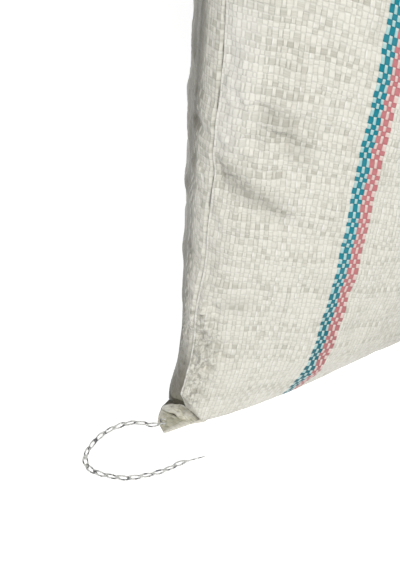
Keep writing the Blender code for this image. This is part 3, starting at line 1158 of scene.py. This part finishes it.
# %% A finish made of nodes
class Finish:
    """A material whose nodes are added one after another."""

    def __init__(self, name):
        self.material = bpy.data.materials.new(name)
        self.material.use_nodes = True
        self.nodes = self.material.node_tree.nodes
        self.shader = self.nodes["Principled BSDF"]

    def put(self, value, socket):
        """Runs a wire to a socket, or sets the socket to a plain value."""
        if isinstance(value, Wire):
            self.material.node_tree.links.new(value.socket, socket)
        else:
            socket.default_value = value

    def add(self, kind, values, **settings):
        """Adds a node, fills its first sockets, and gives the wire that leaves it."""
        node = self.nodes.new("ShaderNode" + kind)
        for setting, choice in settings.items():
            setattr(node, setting, choice)
        for value, socket in zip(values, node.inputs):
            self.put(value, socket)
        return Wire(self, node.outputs[0])

    def mix(self, share, first, second):
        """A colour between two colours."""
        node = self.nodes.new("ShaderNodeMix")
        node.data_type = "RGBA"
        colours = [socket for socket in node.inputs if socket.type == "RGBA"]
        for value, socket in zip((share, first, second), (node.inputs["Factor"], *colours)):
            self.put(value, socket)
        return Wire(self, [socket for socket in node.outputs if socket.type == "RGBA"][0])

    def place(self, x, y, z=0.0):
        """A vector from three numbers."""
        return self.add("CombineXYZ", (x, y, z))

    def noise(self, vector, scale, detail):
        """Soft noise from 0 to 1."""
        wire = self.add("TexNoise", (vector,))
        wire.socket.node.inputs["Scale"].default_value = scale
        wire.socket.node.inputs["Detail"].default_value = detail
        return wire

    def streaks(self, x, y, detail=2.0):
        """Soft noise that is longer one way than the other."""
        return self.noise(self.place(x, y), 1.0, detail)

    def random(self, x, y):
        """A random number that is the same wherever x and y are the same."""
        return self.add("TexWhiteNoise", (self.place(x, y),), noise_dimensions="2D")

    def wrap_up(self, colour, roughness, height, strength, distance):
        """Connects the colour, the roughness and a bump to the shader, and gives the material."""
        bump = self.nodes.new("ShaderNodeBump")
        bump.inputs["Strength"].default_value = strength
        bump.inputs["Distance"].default_value = distance
        self.put(height, bump.inputs["Height"])
        self.put(colour, self.shader.inputs["Base Color"])
        self.put(roughness, self.shader.inputs["Roughness"])
        self.put(Wire(self, bump.outputs[0]), self.shader.inputs["Normal"])
        return self.material


print("a finish can add:", [name for name in vars(Finish) if not name.startswith("_")])

# %% [markdown]
# The tape counts come first: a number and a place within the tape, across and up. The edge lines of real
# tapes are never straight, so the place is nudged by a little noise before it is counted. Beside the crease
# the upright tapes are wide, and from the stripe inwards the loom packed them closer, so there the count
# goes on with a narrower tape. The filled cloth has also pulled the stripe out of line: it bows away from
# the crease towards the top and a little back to it low down, and the count is shifted by that bow.

# %% Count the upright tapes
STRIPE_TAPES = 3
TEAL_FIRST_TAPE = 30
WIDE_TAPE = 0.002634
STRIPES_START = (TEAL_FIRST_TAPE - 0.5) * WIDE_TAPE
TAPES_PAST_START = 80
NARROW_TAPE = (LAY_FLAT / 2 - STRIPES_START) / TAPES_PAST_START
TAPES_IN_FACE = 2 * (TEAL_FIRST_TAPE + TAPES_PAST_START) - 1
BOW_LOW = -0.0024
BOW_MIDDLE = 0.0016
BOW_HIGH = 0.0052


def from_crease(across, period):
    """The distance to the nearer side crease, round the whole tube, in metres or in tapes."""
    on_face = across % period
    return on_face.less(period - on_face)


def count_upright(across, up):
    """A running count of the upright tapes, round the whole tube."""
    on_back = across > LAY_FLAT
    on_face = on_back * -LAY_FLAT + across
    right_half = on_face > LAY_FLAT / 2
    near = on_face.less(LAY_FLAT - on_face)
    bow = up.between(0.200, 0.280, BOW_MIDDLE, BOW_HIGH) + up.between(0.080, 0.130, BOW_LOW, 0.0)
    near = near - bow * near.rises(0.020, 0.125) * near.falls(0.125, 0.245)
    count = near.less(STRIPES_START) * (1 / WIDE_TAPE) + 0.5
    count = (near - STRIPES_START).more(0.0) * (1 / NARROW_TAPE) + count
    count = right_half * (TAPES_IN_FACE + 1.0 - count * 2.0) + count
    return on_back * TAPES_IN_FACE + count


def stripe_share(tape):
    """1 on the tapes of the teal stripe and 1 on those of the pink stripe, as two values."""
    near = from_crease(tape, TAPES_IN_FACE)
    middle = TEAL_FIRST_TAPE + (STRIPE_TAPES - 1) / 2
    return [near.sum("COMPARE", middle + shift, STRIPE_TAPES / 2) for shift in (0, STRIPE_TAPES)]


print("a wide tape is %.2f mm and a narrow one %.2f mm" % (WIDE_TAPE * 1000, NARROW_TAPE * 1000))

# %% [markdown]
# The cross tapes are counted in groups of four, since their four widths repeat. Each edge that is passed
# within a group adds one to the number and gives the start and the width of the next tape.

# %% Count the cross tapes
CROSS_TAPES = (0.00515, 0.00314, 0.00326, 0.00446)
TAPE_WANDER = 0.0022


def count_cross(up):
    """The number of the cross tape at a height, and the place within it from 0 to 1."""
    cycle = sum(CROSS_TAPES)
    turns = (up + cycle * 8) / cycle
    rest = turns.sum("FRACT") * cycle
    number = turns.sum("FLOOR") * len(CROSS_TAPES)
    start, width, edge = 0.0, CROSS_TAPES[0], 0.0
    for this, following in zip(CROSS_TAPES, CROSS_TAPES[1:]):
        edge += this
        past = rest > edge
        number = number + past
        start = past * this + start
        width = past * (following - this) + width
    return number, (rest - start) / width


def count_tapes(finish):
    """The place on the flat cloth, the numbers of the two tapes there, and the place within each."""
    cloth = finish.add("UVMap", (), uv_map="cloth")
    split = finish.add("SeparateXYZ", (cloth,)).socket.node
    across, up = Wire(finish, split.outputs[0]), Wire(finish, split.outputs[1])
    moved_across = (finish.noise(cloth, 26.0, 3.0) - 0.5) * TAPE_WANDER + across
    moved_up = (finish.noise(finish.place(up, across, 3.7), 30.0, 3.0) - 0.5) * TAPE_WANDER + up
    count = count_upright(moved_across, up)
    cross_number, cross_share = count_cross(moved_up)
    return SimpleNamespace(cloth=cloth, across=across, up=up, near=from_crease(across, LAY_FLAT),
                           number=count.sum("FLOOR"), share=count.sum("FRACT"),
                           cross_number=cross_number, cross_share=cross_share)


print("cross tapes repeat every", round(sum(CROSS_TAPES) * 1000, 1), "mm")

# %% [markdown]
# With the counts, the rest is a matter of which tape is on top. Where an upright tape is on top it spreads
# a little over its neighbours, so the cross tape between two of them shows as a smaller square. Some
# tapes are folded on themselves by the loom and stay narrow, so each upright tape has its own width. High
# up beside the crease the cloth was pulled, and there the tapes draw together.

# %% Find the tape on top
SPREAD_LEAST = -0.23
SPREAD_RANGE = 0.30
SPREAD_WAVER = 0.42
PULLED_SPREAD = -0.10
STRIPE_SPREAD = 0.13
PULLED_UP = (0.150, 0.200)
PULLED_ACROSS = (0.035, 0.075)


def spread_of(finish, weave, tape, striped):
    """How far an upright tape spreads over its neighbours, and whether it is teal or pink."""
    waver = finish.streaks(tape * 3.7, weave.up * 130.0, 1.0) - 0.5
    spread = finish.random(tape, 7.0) * SPREAD_RANGE + SPREAD_LEAST + waver * SPREAD_WAVER
    spread = spread + weave.pulled * PULLED_SPREAD
    if not striped:
        return spread, (0.0, 0.0)
    teal, pink = stripe_share(tape)
    dyed = teal + pink
    return spread * (1.0 - dyed) + dyed * STRIPE_SPREAD, (teal, pink)


def find_top_tape(finish, weave, striped):
    """Adds to the weave which tape is on top, and how far inside its edge each place lies."""
    odd = (weave.number + weave.cross_number) % 2.0 > 0.5
    even = 1.0 - odd
    weave.pulled = weave.up.rises(*PULLED_UP) * weave.near.falls(*PULLED_ACROSS)
    to_edge = 0.5 - abs(weave.share - 0.5)
    beside = weave.number + (weave.share - 0.5).sum("SIGN")
    own_spread, weave.dye = spread_of(finish, weave, weave.number, striped)
    next_spread, weave.next_dye = spread_of(finish, weave, beside, striped)
    weave.over_neighbour = even * (to_edge < next_spread)
    shy = odd * (to_edge < own_spread * -1.0)
    weave.upright = odd + weave.over_neighbour - shy
    weave.cross = 1.0 - weave.upright
    weave.upright_edge = odd * (to_edge + own_spread) + even * (next_spread - to_edge)
    weave.cross_edge = even * (to_edge - next_spread)
    weave.chance = finish.random(weave.number, weave.cross_number)
    weave.other_chance = finish.random(weave.cross_number, weave.number)


def either(weave, on_upright, on_cross):
    """One value where an upright tape is on top, and another where a cross tape is."""
    return weave.upright * on_upright + weave.cross * on_cross


print("spread of a tape: from", SPREAD_LEAST, "to", round(SPREAD_LEAST + SPREAD_RANGE, 2))

# %% [markdown]
# A tape that dives under the next one gets darker towards that edge, and a thin line of shade lies beside
# it. Both are soft. Hard dark lines all round would turn the cloth into a tiled wall. In the pulled cloth a
# few rows lie deeper than the rest. The side of a tape that faces the light shows as a bright bar.

# %% Shade and shine of the edges
# how dark each gets, and its width as a share of a tape
DIVE_SHADE = 0.36
UPRIGHT_DIVE = 0.30
CROSS_DIVE = 0.26
EDGE_SHADE = 0.48
UPRIGHT_LINE = 0.10
CROSS_LINE = 0.20
DEEP_ROWS = 0.9
RIM_SHINE = 0.55


def edge_shade(finish, weave, line_share):
    """Adds where tapes dive and where the thin lines are, and gives the shade of both."""
    cross_to_edge = 0.5 - abs(weave.cross_share - 0.5)
    dive_upright = cross_to_edge.falls(0.0, UPRIGHT_DIVE)
    weave.dive = either(weave, dive_upright, weave.cross_edge.falls(0.0, CROSS_DIVE))
    right_side = abs((weave.share > 0.5) - weave.over_neighbour)
    line_upright = weave.upright_edge.falls(0.0, UPRIGHT_LINE) * (right_side * 0.75 + 0.25)
    line_upright = line_upright * weave.chance.rises(0.35, 1.0)
    line_cross = weave.cross_share.falls(0.0, CROSS_LINE) * weave.other_chance.rises(0.30, 1.0)
    weave.line = either(weave, line_upright, line_cross)
    columns = finish.streaks(weave.across * 200.0, weave.up * 32.0)
    rows = finish.streaks(weave.across * 26.0, weave.up * 150.0)
    patchy = either(weave, columns.between(0.44, 0.66, 0.10, 1.0), rows.between(0.44, 0.66, 0.14, 1.0))
    shade = weave.dive * DIVE_SHADE + weave.line * EDGE_SHADE * patchy
    deep = finish.random(weave.cross_number, 5.0).rises(0.70, 0.90) * weave.pulled * weave.cross
    deep = deep * weave.cross_share.rises(0.78, 0.98) * weave.chance.rises(0.15, 0.60)
    return shade.more(deep * DEEP_ROWS) * line_share


def edge_shine(weave):
    """The bright bars of upright tapes, and the weaker bright rims of cross tapes."""
    bar = weave.upright * weave.other_chance.rises(0.55, 0.95) * weave.share.falls(0.20, 0.44)
    rim = weave.cross * weave.cross_share.rises(0.66, 0.86) * RIM_SHINE
    return bar.more(rim)


print("darkest edge:", round(DIVE_SHADE + EDGE_SHADE, 2))

# %% [markdown]
# The white of the film is uneven in three ways: from tape to tape, from square to square, and along the
# fine grain that stretching has left in it. The two stripes are upright tapes made of dyed film, three teal
# and three pink, near each side. The film is thin, so the white squares between dyed tapes take on some of
# the colour too, and low down, where less light reaches them, the dyed tapes are a little darker.

# %% Colours of the tapes
WHITE_TAPE = (0.671, 0.659, 0.597, 1.0)
GREY_TAPE = (0.437, 0.429, 0.367, 1.0)
SHADE_TAPE = (0.168, 0.160, 0.129, 1.0)
BRIGHT_TAPE = (0.749, 0.745, 0.702, 1.0)
BLACK = (0.0, 0.0, 0.0, 1.0)
# the dyed tape, the white square beside it, and how much painted shade the dyed tape gets low down
STRIPE_DYES = [
    ((0.000, 0.190, 0.248, 1.0), (0.312, 0.546, 0.562, 1.0), 0.42),
    ((0.470, 0.160, 0.172, 1.0), (0.671, 0.468, 0.445, 1.0), 0.20),
]
# how much each kind of unevenness counts, and the sums of them that are white and grey
TAPE_TONE = 0.26
SQUARE_TONE = 0.30
GRAIN_TONE = 0.22
CLOUD_TONE = 0.30
CROSS_TONE = 0.18
PULLED_TONE = 0.10
WHITE_TO_GREY = (0.47, 1.15)
GLOW_STRENGTH = 0.85
DYE_SHADE_HEIGHTS = (0.035, 0.170)


def tinted(colour, tint):
    """A colour seen through a tint."""
    return tuple(value * share for value, share in zip(colour, (*tint, 1.0)))


def film_tone(finish, weave):
    """Adds the grain of the film, and gives how grey each place is."""
    along_upright = finish.streaks(weave.across * 1500.0, weave.up * 110.0)
    along_cross = finish.streaks(weave.across * 110.0, weave.up * 1500.0)
    weave.grain = either(weave, along_upright, along_cross)
    tape_tone = either(weave, finish.random(weave.number, 1.0), finish.random(weave.cross_number, 2.0))
    tone = tape_tone * TAPE_TONE + weave.chance * SQUARE_TONE + weave.grain.rises(0.30, 0.70) * GRAIN_TONE
    tone = tone + finish.noise(weave.cloth, 38.0, 3.0) * CLOUD_TONE
    tone = tone + weave.cross * (weave.pulled * PULLED_TONE + CROSS_TONE)
    return tone.rises(*WHITE_TO_GREY)


def dye_stripes(finish, weave, colour):
    """The colour with both stripes in it, and 1 where a dyed tape is on top."""
    strength = weave.upright * (1.0 - GLOW_STRENGTH) + GLOW_STRENGTH
    strength = strength * (weave.chance * -0.03 + 1.0)
    dyed_top = 0.0
    for own, beside, (dye, glow, low_shade) in zip(weave.dye, weave.next_dye, STRIPE_DYES):
        shown = own * (1.0 - weave.over_neighbour) + beside * weave.over_neighbour
        colour = finish.mix(shown * strength, colour, finish.mix(weave.upright, glow, dye))
        on_top = shown * weave.upright
        # painted shade on the dyed tapes low down
        colour = finish.mix(on_top * weave.up.between(*DYE_SHADE_HEIGHTS, low_shade, 0.0), colour, BLACK)
        dyed_top = on_top + dyed_top
    return colour, dyed_top


print("stripes on each side:", len(STRIPE_DYES))

# %% [markdown]
# Painted shade comes last. All of it is drawn by distance from the crease and by height on the cloth, with
# soft ends and noise between them. The two broad dents and the dent above the crumpled corner each get a
# soft patch of painted shade that follows the dent's own slant.

# %% Painted shade in the dents
# the colour of all the painted shade on the faces
DUST = (0.133, 0.125, 0.092, 1.0)
# painted shade in the dents: place on the cloth, degrees from level, half length, half width, how much
SHADED_DENTS = [
    ((0.0220, 0.1805), -31, 0.032, 0.0140, 0.32),
    ((0.0380, 0.2200), -46, 0.026, 0.0130, 0.22),
    ((0.0230, 0.1000), -10, 0.014, 0.0130, 0.16),
]


def dent_shade(across, up):
    """How much painted shade lies in the dents of the front."""
    shading = 0.0
    for (dent_across, dent_up), degrees, length, width, most in SHADED_DENTS:
        slope = math.radians(degrees)
        right, above = across - dent_across, up - dent_up
        along = abs(right * math.cos(slope) + above * math.sin(slope))
        aside = abs(above * math.cos(slope) - right * math.sin(slope))
        shading = (along.between(0.4 * length, length, most, 0.0) * aside.falls(0.0, width)).more(shading)
    return shading


print("dusty dents:", len(SHADED_DENTS))

# %% [markdown]
# The cloth turns away behind the crease, and there it gets painted shade: patchy at first, and thickest along
# the side that faces away from the light. A stripe with even edges would look painted on, so noise breaks it
# into clouds, and it moves to and fro a little on its way up.

# %% Painted shade behind the creases
DUST_LEAST = 0.22
DUST_MOST = 0.80
FOLD_SHADE_MOST = 0.88
OUTLINE_SHADE = 0.88
# where each part of the painted shade starts or ends: by distance from the crease, by height, or round the
# tube
PATCHY_STARTS = (0.010, 0.021)
PATCHY_ENDS = (0.034, 0.090)
THICK_STARTS = (0.016, 0.029)
THICK_ENDS = (0.032, 0.105)
THICK_UNBROKEN = (0.026, 0.044)
THICKER_LOW = (0.080, 0.160)
THICKER_HIGH = (0.185, 0.205)
THINS_UP = (0.270, 0.400)
THIN_SHARE = 0.25
ROUND_TO_LEFT = (0.70, 0.80)
RIGHT_SHARE = 0.45
FOLD_UP = (0.030, 0.075)
FOLD_ACROSS = (0.012, 0.050)
# how the edge of the painted shade moves: from one height to another, and how far it is moved at each
LIP_SHIFT = (0.080, 0.150, 0.006, 0.0)
HIGH_SHIFT = (0.176, 0.202, -0.0045, 0.0035)
LOW_SHIFT = (0.090, 0.135, 0.0055, 0.0)


def shade_behind(finish, weave, streaks):
    """Painted shade on the back: patchy beside the crease, thick along the side that faces away from the
    light.
    """
    near, up = weave.near, weave.up
    lit = weave.upright * weave.other_chance.rises(0.15, 0.75)
    patch_shade = (lit * 0.36 + streaks * 0.5 + 0.16).between(0.38, 0.70, DUST_MOST, DUST_LEAST)
    past_lip = near + up.between(*LIP_SHIFT)
    patchy = patch_shade * past_lip.rises(*PATCHY_STARTS) * near.falls(*PATCHY_ENDS)
    to_side = near + up.between(*HIGH_SHIFT) + up.between(*LOW_SHIFT)
    clouds = finish.streaks(weave.across * 46.0, up * 17.0, 3.0).between(0.34, 0.62, 0.35, 1.0)
    clouds = clouds.more(near.falls(*THICK_UNBROKEN))
    by_height = up.between(*THICKER_LOW, 1.0, OUTLINE_SHADE).more(up.rises(*THICKER_HIGH))
    thick = to_side.rises(*THICK_STARTS) * near.falls(*THICK_ENDS) * clouds * by_height
    shading = patchy.more(thick) * up.between(*THINS_UP, 1.0, THIN_SHARE)
    shading = shading * weave.across.between(*ROUND_TO_LEFT, RIGHT_SHARE, 1.0)
    # more painted shade low down, beside the crease
    return shading.more(up.between(*FOLD_UP, FOLD_SHADE_MOST, 0.0) * near.falls(*FOLD_ACROSS))


print("dust behind the crease: from", DUST_LEAST, "to", DUST_MOST)

# %% [markdown]
# The last kinds of painted shade lie low on the face and as small patches in the crumpled corner. Where
# two kinds meet, only the stronger one counts, so they never add up to black.

# %% Put the painted shade together
LOW_FACE_SHADE = 0.42
LOW_FACE_UP = (0.020, 0.150)
LOW_FACE_ACROSS = (0.08, 0.20)
CRUMPLE_SHADE_MOST = 0.46
CRUMPLE_SHADE_ACROSS = (0.007, 0.020)
CRUMPLE_SHADE_STARTS_UP = (0.006, 0.022)
CRUMPLE_SHADE_ENDS_UP = (0.070, 0.110)


def all_painted_shade(finish, weave, on_back, streaks):
    """The painted shade of both faces, with the patches of the crumpled corner."""
    near, up = weave.near, weave.up
    low_face = up.between(*LOW_FACE_UP, LOW_FACE_SHADE, 0.0) * near.rises(*LOW_FACE_ACROSS)
    crumple_shade = finish.streaks(weave.across * 420.0, up * 270.0).between(0.44, 0.62, 0.0, CRUMPLE_SHADE_MOST)
    crumple_shade = crumple_shade * near.falls(*CRUMPLE_SHADE_ACROSS) * up.rises(*CRUMPLE_SHADE_STARTS_UP) * up.falls(*CRUMPLE_SHADE_ENDS_UP)
    shading = (on_back * shade_behind(finish, weave, streaks)).more(low_face)
    return shading.more(dent_shade(weave.across, up)).more(crumple_shade)


print("strongest smudge:", CRUMPLE_SHADE_MOST)

# %% [markdown]
# The crease is the opposite: the fold has whitened its tape, and a painted highlight on the ridge adds to it,
# so the crease shows as a fine bright line, broken in many places. High up beside it the face gets painted
# light. Behind the crease runs a dark gap of painted shade, and black painted shadow sits low down, where the
# back tucks under itself.

# %% Painted light and shade of the faces
# the colour of the black painted shadow
PAINTED_SHADOW = (0.047, 0.045, 0.030, 1.0)
PAINTED_LIGHT_MOST = 0.50
# where each of them starts or ends, by distance from the crease or by height on the cloth
PAINTED_LIGHT_ACROSS = (0.006, 0.034)
PAINTED_LIGHT_STARTS_UP = (0.188, 0.212)
PAINTED_LIGHT_ENDS_UP = (0.260, 0.340)
TUCK_UP = (0.0138, 0.0152)
TUCK_ACROSS = (0.040, 0.070)
GAP_STARTS = (0.0003, 0.0009)
GAP_ENDS = (0.0015, 0.0026)
GAP_STARTS_UP = (0.125, 0.160)
CREASE_LINE = (0.0003, 0.0011)
LINE_STARTS_UP = (0.014, 0.022)
LINE_ENDS_UP = (0.200, 0.230)


def face_shade_and_light(finish, weave, colour):
    """The colour of a face with its painted light, painted shade and crease line, and how much painted
    shadow.
    """
    near, up = weave.near, weave.up
    on_back = weave.across > LAY_FLAT
    streaks = finish.streaks(weave.across * 330.0, up * 110.0, 3.0)
    # painted light high up beside the crease, on the front only
    painted_light = near.between(*PAINTED_LIGHT_ACROSS, PAINTED_LIGHT_MOST, 0.0) * up.rises(*PAINTED_LIGHT_STARTS_UP) * up.falls(*PAINTED_LIGHT_ENDS_UP)
    colour = finish.mix(painted_light * (1.0 - on_back), colour, BRIGHT_TAPE)
    # painted shade behind the crease, in the dents, low on the face and in the crumpled corner
    colour = finish.mix(all_painted_shade(finish, weave, on_back, streaks), colour, DUST)
    # painted shadow where the back tucks under itself, and in a broken dark gap behind the crease
    tuck = (near * -0.2 + up).falls(*TUCK_UP) * near.between(*TUCK_ACROSS, 0.92, 0.0)
    gap = near.rises(*GAP_STARTS) * near.falls(*GAP_ENDS) * up.rises(*GAP_STARTS_UP)
    gap = gap * streaks.between(0.36, 0.58, 0.08, 0.60)
    # the fine bright crease line: tape whitened by the fold, with a painted highlight on the ridge
    whitened_and_highlit = near.falls(*CREASE_LINE) * up.rises(*LINE_STARTS_UP) * up.falls(*LINE_ENDS_UP)
    whitened_and_highlit = whitened_and_highlit * streaks.between(0.42, 0.60, 0.08, 0.95)
    return finish.mix(whitened_and_highlit, colour, BRIGHT_TAPE), on_back * tuck.more(gap)


print("the bright line along the crease is", CREASE_LINE[1] * 1000, "mm wide")

# %% [markdown]
# The two layers of each ear get their own painted light and shade. Painted shadow sits under the rolled
# edge and where the flap goes under the body, the back end of the flap and streaks along it get painted
# light, and the outer rims of the lower layer are lighter.

# %% Painted light and shade of the ears
HEM_SHADOW = 0.85
# shares of the ear's depth, from its back edge to its front edge
BACK_RIM = (0.05, 0.35)
FRONT_RIM = (0.80, 0.97)
ROLL_SHADOW_ENDS = (0.60, 0.80)
# places on the cloth of the lower layer and of the flap, in metres
ROLL_SHADOW = (UNDER_ROLL - 0.0006, UNDER_ROLL + 0.0022)
LIT_END = (0.0195, 0.0245)
UNDER_BODY_UP = (-0.0075, -0.0005)
UNDER_BODY_ACROSS = (0.0145, 0.0225)
TOP_LINE_UP = (-0.0012, -0.0006)


def ear_shade_and_patches(finish, weave, colour):
    """Painted shadow under the rolled edge, lighter rims along the two outer edges, and random patches."""
    forward = (EAR_BACK_UP - weave.up) / EAR_DEPTH
    rims = forward.between(*FRONT_RIM, 0.0, 0.75).more(forward.between(*BACK_RIM, 0.8, 0.0))
    colour = finish.mix(rims, colour, WHITE_TAPE)
    patches = finish.streaks(weave.across * 520.0, weave.up * 260.0)
    colour = finish.mix(patches.between(0.54, 0.68, 0.0, 0.5), colour, WHITE_TAPE)
    # painted shadow under the rolled edge
    painted_shadow = weave.across.between(*ROLL_SHADOW, HEM_SHADOW, 0.0)
    painted_shadow = painted_shadow * forward.falls(*ROLL_SHADOW_ENDS)
    return colour, painted_shadow.more(patches.between(0.32, 0.46, 0.28, 0.0))


def flap_shade_and_light(finish, weave, colour):
    """Painted shadow where the flap goes under the body, and painted light at its back end."""
    streaks = finish.streaks(weave.across * 330.0, weave.up * 620.0)
    # painted light on the back end of the flap, and painted highlights in streaks along it
    lit_end = weave.across.between(*LIT_END, 0.0, 0.75)
    colour = finish.mix(lit_end.more(streaks.between(0.50, 0.64, 0.0, 0.8)), colour, BRIGHT_TAPE)
    # painted shadow where the flap goes under the body and along its top line, and painted shade in streaks
    painted_shadow = weave.up.between(*UNDER_BODY_UP, 0.0, HEM_SHADOW) * weave.across.falls(*UNDER_BODY_ACROSS)
    painted_shadow = painted_shadow.more(streaks.between(0.30, 0.46, 0.45, 0.0) * (1.0 - lit_end))
    return colour, painted_shadow.more(weave.up.between(*TOP_LINE_UP, 0.0, 0.95))


print("grime under the rolled edge:", HEM_SHADOW)

# %% [markdown]
# A bump makes each tape arch over its neighbour, and thin dark lines lie where a tape goes under. A tape is
# only a tenth of a millimetre thick, but it curls at its edges and lies at its own slant, so the bump
# pretends a relief of a third of a millimetre or so. The thread is simpler: matt and white, with a fine
# twist, and its grey flecks and darker patches are painted shade.

# %% Put the finishes together
TAPE_ROUGHNESS = 0.34
GRAIN_ROUGHNESS = 0.20
TAPE_THICKNESS = 0.00038
DIVE_DEPTH = 0.55
LINE_DEPTH = 0.20
TAPE_FOLDS = 0.20
PLAIN = (1.0, 1.0, 1.0)
THREAD_LIGHT = (0.72, 0.72, 0.70, 1.0)
THREAD_SHADE = (0.50, 0.51, 0.50, 1.0)
THREAD_SHADOW = (0.125, 0.130, 0.135, 1.0)


def tape_relief(weave):
    """How high the cloth stands: tapes dive, have lines beside them, and each square leans its own way."""
    lean = (weave.share - 0.5) * (weave.chance - 0.35)
    lean_up = (weave.cross_share - 0.5) * (weave.other_chance - 0.5)
    return 1.0 - weave.dive * DIVE_DEPTH - weave.line * LINE_DEPTH + lean + lean_up + weave.grain * TAPE_FOLDS


def woven_finish(name, striped, light_and_shade_marks, tint=PLAIN, line_share=1.0):
    """The material of the woven cloth, with or without its coloured stripes."""
    finish = Finish(name)
    weave = count_tapes(finish)
    find_top_tape(finish, weave, striped)
    shade = edge_shade(finish, weave, line_share)
    white, grey, bright = [tinted(colour, tint) for colour in (WHITE_TAPE, GREY_TAPE, BRIGHT_TAPE)]
    colour, dyed_top = finish.mix(film_tone(finish, weave), white, grey), 0.0
    if striped:
        colour, dyed_top = dye_stripes(finish, weave, colour)
    shine = edge_shine(weave) * (1.0 - dyed_top)
    colour = finish.mix(shine, colour, finish.mix(0.85, colour, bright))
    # each piece's painted light and shade, then the painted shade of the tape edges and the painted shadow
    colour, painted_shadow = light_and_shade_marks(finish, weave, colour)
    shaded = finish.mix(dyed_top, finish.mix(0.5, colour, SHADE_TAPE), finish.mix(0.4, colour, BLACK))
    colour = finish.mix(painted_shadow, finish.mix(shade, colour, shaded), PAINTED_SHADOW)
    finish.shader.inputs["Specular IOR Level"].default_value = 0.20
    roughness = weave.grain * GRAIN_ROUGHNESS + TAPE_ROUGHNESS
    return finish.wrap_up(colour, roughness, tape_relief(weave), 1.0, TAPE_THICKNESS)


def thread_finish(name):
    """Spun white sewing thread: matt, with a fine twist, and painted shade in flecks and patches."""
    finish = Finish(name)
    place = Wire(finish, finish.nodes.new("ShaderNodeTexCoord").outputs["Object"])
    fluff = finish.noise(place, 900.0, 3.0)
    # painted shade: grey flecks along the twist, then darker patches
    colour = finish.mix(fluff.rises(0.3, 0.7), THREAD_LIGHT, THREAD_SHADE)
    colour = finish.mix(finish.noise(place, 330.0, 3.0).rises(0.46, 0.62), colour, THREAD_SHADOW)
    return finish.wrap_up(colour, 0.75, fluff, 0.6, 0.0001)


striped_weave = woven_finish("striped_tape_weave", True, face_shade_and_light)
print("nodes in the weave:", len(striped_weave.node_tree.nodes))

# %% [markdown]
# The faces and the top hem share one finish. The ears have no stripes, and fainter lines. The lower layer
# is darker than the faces, a painted shade of the body that stands over it, and the flap a little creamier.

# %% Give each piece its finish
# this tint darkens the lower layers: painted shade
EAR_SHADE_TINT = (0.80, 0.795, 0.700)
FLAP_TINT = (1.00, 0.985, 0.90)
EAR_LINES = 0.5

ear_weave = woven_finish("shaded_hem_weave", False, ear_shade_and_patches, EAR_SHADE_TINT, EAR_LINES)
flap_weave = woven_finish("creamy_hem_weave", False, flap_shade_and_light, FLAP_TINT, EAR_LINES)
white_thread = thread_finish("spun_white_thread")
fabric_pieces = [front_face, back_face, top_hem] + ears
thread_pieces = [thread_tail, top_stitching_front, top_stitching_back, ear_loop]
for piece in fabric_pieces:
    ear_finish = flap_weave if piece.name.endswith("upper") else ear_weave
    piece.data.materials.append(ear_finish if piece in ears else striped_weave)
for piece in thread_pieces:
    piece.data.materials.append(white_thread)
print("finishes:", sorted({piece.data.materials[0].name for piece in fabric_pieces + thread_pieces}))

# %% [markdown]
# ## Join the pieces to the part
# Nothing on a sack moves, so every piece rides on the one body. The two faces, the hem and the ears take
# the place of the plain solid of the sack.

for piece in fabric_pieces:
    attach(piece, "root")
    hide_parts("woven_sack")
for piece in thread_pieces:
    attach(piece, "root")
print("pieces:", len(fabric_pieces) + len(thread_pieces))

# %% [markdown]
